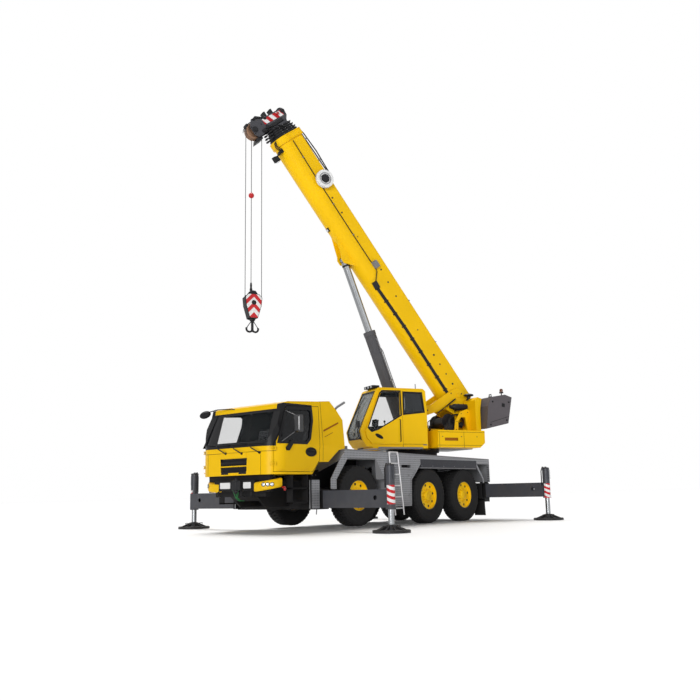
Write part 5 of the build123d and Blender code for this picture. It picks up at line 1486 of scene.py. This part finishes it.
form = Form(boom)  # lamps and brackets hung under the boom
form.wedge([(8.31, -0.36), (8.43, -0.36), (8.38, -0.44), (8.31, -0.5)], 0.02,
           [(8.31, -0.32), (8.43, -0.32), (8.38, -0.42), (8.31, -0.48)], 0.2)
form.tube([(8.33, 0.2, -0.42), (8.3, 0.26, -0.56), (8.27, 0.27, -0.66)], 0.018, 10)
form.wedge([(8.14, -0.62), (8.3, -0.64), (8.32, -0.78), (8.16, -0.78)], 0.19,
           [(8.15, -0.63), (8.29, -0.65), (8.31, -0.77), (8.17, -0.77)], 0.33)
form.plate([(5.84, -0.395), (5.96, -0.395), (5.95, -0.43), (5.85, -0.43)], -0.05, 0.07)
for k in range(3):
    form.tube([(8.4, 0.12 + 0.06 * k, -0.38), (8.52, 0.14 + 0.06 * k, -0.46),
               (8.66, 0.13 + 0.05 * k, -0.4)], 0.012)
form.finish("boomBrackets", blackPlastic, "boom_base", 0.004, True)
form = Form(boom)
form.lathe((8.145, 0.26, -0.71), -boomS, button(0.058, 0.01, 0.03, 0.02, 0.022), 24)
form.lathe((5.9, 0.01, -0.428), -boomT, [(0, 0), (0.045, 0), (0.042, 0.025), (0.02, 0.035), (0, 0.036)], 20)
form.finish("boomLamps", lampGlass, "boom_base", smooth=True)

# boom head
s0, t0 = headTrim["sheave"]
form = Form(boom)
for side in (1, -1):
    form.slab(9.19, 9.35, side * 0.181, side * 0.188, -0.36, 0.32)
form.finish("headStripes", stripePaint, "boom_5", 0.001)
form = Form(boom)  # plates, pins and guards of the head
for side in (-1, 1):
    for s, t, r in ((9.2, -0.7, 0.085), (9.31, 0.34, 0.065), (9.35, -0.26, 0.05), (9.12, -0.33, 0.05)):
        form.lathe((s, side * 0.18, t), superY * side, [(0, 0), (r, 0), (r, 0.012), (r * 0.6, 0.02),
                (r * 0.6, 0.03), (0, 0.03)], 28)
    form.wedge([(9.02, -0.55), (9.1, -0.55), (9.16, 0.2), (9.06, 0.22)], side * 0.19,
               [(9.03, -0.53), (9.09, -0.53), (9.14, 0.18), (9.07, 0.2)], side * 0.225)
    form.wedge([(9.36, -0.3), (9.4, -0.3), (9.52, -0.5), (9.48, -0.62), (9.42, -0.6), (9.44, -0.5)],
               side * 0.181,
               [(9.365, -0.31), (9.395, -0.31), (9.51, -0.5), (9.475, -0.61), (9.43, -0.59), (9.45, -0.5)],
               side * 0.215)
    for s, t in ((8.78, 0.36), (8.86, 0.33), (8.94, 0.3), (8.78, -0.34), (8.86, -0.32), (8.94, -0.3)):
        way = 1 if t > 0 else -1
        form.wedge([(s, t), (s + 0.04, t), (s + 0.04, t + 0.1 * way), (s, t + 0.08 * way)], side * 0.1,
                   [(s, t), (s + 0.04, t), (s + 0.04, t + 0.08 * way), (s, t + 0.06 * way)], side * 0.22)
for y in (-0.11, -0.035, 0.035, 0.11):  # rope keepers round the sheaves
    form.tube([(s0 + headTrim["keeper"] * math.cos(a), y, t0 + headTrim["keeper"] * math.sin(a))
               for a in [math.radians(v) for v in range(-60, 61, 20)]], 0.008, 6)
form.plate([(8.9, -0.62), (9.02, -0.6), (8.98, -0.78), (8.88, -0.86)], -0.15, 0.15)
for s, t, size in ((9.52, 0.09, 0.03), (9.53, -0.13, 0.03), (9.46, -0.79, 0.025)):
    form.slab(9.38, s, -0.1, 0.1, t - size, t + size)
form.finish("headFittings", castSteel, "boom_5", 0.003, True)
form = Form(boom)
form.tube([(8.72, 0.24, 0.2), (8.86, 0.3, 0.1), (9.04, 0.27, -0.12), (9.08, 0.24, -0.42)], 0.016)
form.tube([(8.72, 0.24, 0.1), (8.9, 0.31, -0.05), (9.02, 0.27, -0.26), (9.02, 0.22, -0.5)], 0.013)
form.tube([(8.76, -0.24, 0.2), (8.92, -0.29, 0.05), (9.06, -0.25, -0.3)], 0.013)
form.finish("headLines", hoseRubber, "boom_5", smooth=True)
form = Form(boom)
face = [(0.075, 0), (0.196, 0), (0.206, 0.006), (0.199, 0.008), (0.185, 0.004), (0.075, 0.004)]
for y in (-0.07, 0.0, 0.07):
    for side in (-1, 1):
        form.lathe((s0, y + side * 0.0215, t0), superY * side, face, 40)
form.finish("sheaveFaces", copperSteel, "boom_5", smooth=True)
form = Form(boom)
form.lathe((9.3, 0.205, 0.16), superY, button(0.04, 0.02, 0.02, 0.03, 0.031), 20)
form.finish("headLamp", tailLamp, "boom_5", smooth=True)
spots = []
for side in (-1, 1):
    for s, t in ((9.05, 0.3), (9.2, 0.37), (9.36, 0.25), (9.05, -0.25), (9.25, -0.45), (9.4, -0.4),
                 (9.44, -0.6), (9.3, -0.76), (9.1, -0.76), (8.98, -0.66)):
        spots.append((boom(s, side * 0.180, t), superY * side, 0.014))
bolts("headBolts", spots, "boom_5", castSteel)
for i in range(1, 6):  # wear pad screws round each collar
    front, half, spots = 8.68 + 0.062 * i, 0.3175 - 0.02 * i + 0.012 + 0.004, []
    for t in (-0.08, 0.08, 0.24):
        for side in (-1, 1):
            spots.append((boom(front - 0.0225, side * half, t), superY * side, 0.009))
    for y in (-0.16, 0.0, 0.16):
        spots.append((boom(front - 0.0225, y, 0.3985 - 0.02 * i + 0.016), boomT, 0.009))
    bolts(f"collarScrews_{i}", spots, f"boom_{i}", greyMetal, seed=i)
print("boom ready")

# luffing cylinder: ribs and pipes along the barrel
ramLength = (Vector(sup(0.262, 0, 2.420)) - ramEye).length
barrelTrim = {"ribs": 16, "start": 0.24, "end": 2.80, "radius": 0.155}


def barrel(a, y, t):  # a up from the cylinder's foot
    return ram(ramLength - a, y, t)


form = Form(barrel)
for k in range(barrelTrim["ribs"]):
    a = (k + 0.5) * math.tau / barrelTrim["ribs"]
    y, t, w = math.cos(a), math.sin(a), 0.010
    inner, outer = barrelTrim["radius"] - 0.003, barrelTrim["radius"] + 0.009
    ring = [(y * inner - t * w, t * inner + y * w), (y * inner + t * w, t * inner - y * w),
            (y * outer + t * w * 0.5, t * outer - y * w * 0.5),
            (y * outer - t * w * 0.5, t * outer + y * w * 0.5)]
    form.pane(ring, barrelTrim["start"], barrelTrim["end"])
for a in (0.6, 1.45, 2.3):
    form.lathe((a, 0, 0), ramOut, collar(0.15, 0.17, 0.035), 40)
form.lathe((2.92, 0, 0), ramOut, [(0.1, 0), (0.165, 0), (0.165, 0.012), (0.112, 0.022), (0.1, 0.022)], 40)
form.finish("barrelRibs", barrelPaint, "luff_barrel", 0.002)
form = Form(barrel)
for side in (-1, 1):
    form.tube([(0.3, side * 0.165, 0.06), (0.36, side * 0.182, 0.06), (2.62, side * 0.182, 0.06),
               (2.7, side * 0.165, 0.05)], 0.014, 10)
form.tube([(0.24, 0.06, 0.13), (0.34, 0.06, 0.18), (2.3, 0.06, 0.18), (2.4, 0.05, 0.155)], 0.012, 10)
for a in (0.62, 1.47, 2.32):
    form.prism(*[[(u, v, t) for u, v in oblong(a - 0.02, a + 0.03, -0.205, 0.205)] for t in (0.03, 0.09)])
form.finish("barrelPipes", greyMetal, "luff_barrel", smooth=True)
form = Form(ram)
for side in (1, -1):
    form.lathe((0.0, side * 0.085, 0), superY * side,
               [(0, 0), (0.038, 0), (0.06, 0.004), (0.06, 0.014), (0.03, 0.018), (0, 0.018)], 24)
form.lathe((0.16, 0, 0), -ramOut, collar(0.097, 0.108, 0.05), 36)
form.finish("rodEyeTrim", castSteel, "luff_rod", smooth=True)

# hook block: warning faces, links, rope socket
hookTrim = {"top": 5.90, "ball": 8.66}
zTop = hookTrim["top"] - fallPivot.z


def hook(x, y, z):  # under the top of the hook block
    return fall(x, y, zTop + z)


form = Form(hook)
face = [(-0.215, -0.09), (-0.145, -0.012), (0.145, -0.012), (0.215, -0.09), (0.197, -0.295),
        (0.103, -0.628), (-0.103, -0.628), (-0.197, -0.295)]
for side in (-1, 1):
    form.plate(rounded(face, 0.03), side * 0.1195, side * 0.127)
form.finish("hookFaces", chevronPaint, "hook", 0.001)
form = Form(hook)
form.plate([(-0.11, -0.03), (0.11, -0.03), (0.045, 0.12), (-0.045, 0.12)], -0.012, 0.012)
for y in (-0.07, 0.07):
    form.plate([(-0.17, -0.05), (0.17, -0.05), (0.1, 0.05), (0.06, 0.1), (-0.06, 0.1), (-0.1, 0.05)],
               y - 0.006, y + 0.006)
form.tube([(0, -0.085, 0.075), (0, 0.085, 0.075)], 0.02, 14)
edge = [(0.222, -0.1), (0.232, -0.1), (0.212, -0.3), (0.115, -0.63), (0.105, -0.63), (0.2, -0.3)]
for side in (-1, 1):
    form.lathe((0.0, side * 0.125, -0.23), superY * side,
               [(0, 0), (0.062, 0), (0.062, 0.01), (0.035, 0.016), (0.035, 0.026), (0, 0.026)], 28)
    form.plate([(side * x, z) for x, z in edge], -0.095, 0.095)
form.lathe((0, 0, -0.69), up, collar(0.034, 0.072, 0.035), 28)
form.lathe((0, 0, -0.735), up, collar(0.034, 0.055, 0.04), 6)
form.lathe((0, -0.108, 0.13), up, collar(0.026, 0.036, 0.06), 20)
form.lathe((0, -0.108, 0.27), up, [(0.01, 0), (0.03, 0), (0.022, 0.07), (0.01, 0.09)], 20)
form.finish("hookFittings", castSteel, "hook", 0.002, True)
form = Form(fall)
form.ball((0, -0.111, hookTrim["ball"] - fallPivot.z), 0.075, 1.0, 24)
form.lathe((0, -0.111, 8.72 - fallPivot.z), up, [(0.011, 0), (0.024, 0), (0.018, 0.03), (0.011, 0.035)], 16)
form.finish("ropeBall", redPaint, "hoist_falls", smooth=True)
form = Form(fall)
form.lathe((0, -0.111, -0.2), up, [(0.01, 0), (0.024, 0), (0.03, 0.06), (0.024, 0.13), (0.01, 0.13)], 18)
form.finish("ropeWedge", castSteel, "hoist_falls", smooth=True)
print("hook ready")
floorSize = 120


def seen(tree):  # one for rays from the camera, straight, mirrored or through glass
    rays = tree.node("ShaderNodeLightPath")
    return rays.out("Is Camera Ray").most(rays.out("Is Glossy Ray")).most(rays.out("Is Transmission Ray"))


ground = bmesh.new()
bmesh.ops.create_grid(ground, x_segments=1, y_segments=1, size=floorSize)
floorData = bpy.data.meshes.new("floor")
ground.to_mesh(floorData)
ground.free()
floor = bpy.data.objects.new("floor", floorData)
bpy.context.scene.collection.objects.link(floor)
paleFloor = Finish("paleFloor", (0.93, 0.93, 0.93), 0.7)
paleFloor.shader.inputs["Specular IOR Level"].default_value = 0.1
paleFloor.shader.inputs["Emission Color"].default_value = (1, 1, 1, 1)
lit = Channel(paleFloor, paleFloor.shader.outputs[0])
glow = paleFloor.node("ShaderNodeEmission", {}, Color=(1, 1, 1, 1), Strength=0.03).first()
both = paleFloor.node("ShaderNodeAddShader", {}, glow, lit).first()
pick = paleFloor.node("ShaderNodeMixShader", {}, seen(paleFloor), lit, both).first()
paleFloor.tree.links.new(pick.socket, paleFloor.tree.nodes["Material Output"].inputs["Surface"])
floorData.materials.append(paleFloor.material)

lights = {"ambient": 0.06, "top": (3.05, 35, (-0.22, -0.36, 1.0)), "key": (1.75, 25, (1.0, 0.42, 0.13)),
          "fill": (0.5, 50, (0.2, 1.0, 0.25))}
world = bpy.data.worlds.new("studio")
world.use_nodes = True
sky = Tree(world.node_tree)
base = sky.tree.nodes["Background"]
base.inputs["Strength"].default_value = lights["ambient"]
base.inputs["Color"].default_value = (1, 1, 1, 1)
white = sky.node("ShaderNodeBackground", {}, Color=(1, 1, 1, 1), Strength=1.0).first()
choose = sky.node("ShaderNodeMixShader", {}, seen(sky), Channel(sky, base.outputs[0]), white).first()
sky.tree.links.new(choose.socket, sky.tree.nodes["World Output"].inputs["Surface"])
bpy.context.scene.world = world
for name in ("top", "key", "fill"):
    strength, spread, way = lights[name]
    lamp = bpy.data.lights.new(name, "SUN")
    lamp.energy, lamp.angle = strength, math.radians(spread)
    holder = bpy.data.objects.new(name, lamp)
    holder.rotation_euler = Vector(way).to_track_quat("Z", "Y").to_euler()
    bpy.context.scene.collection.objects.link(holder)
print("stage ready")
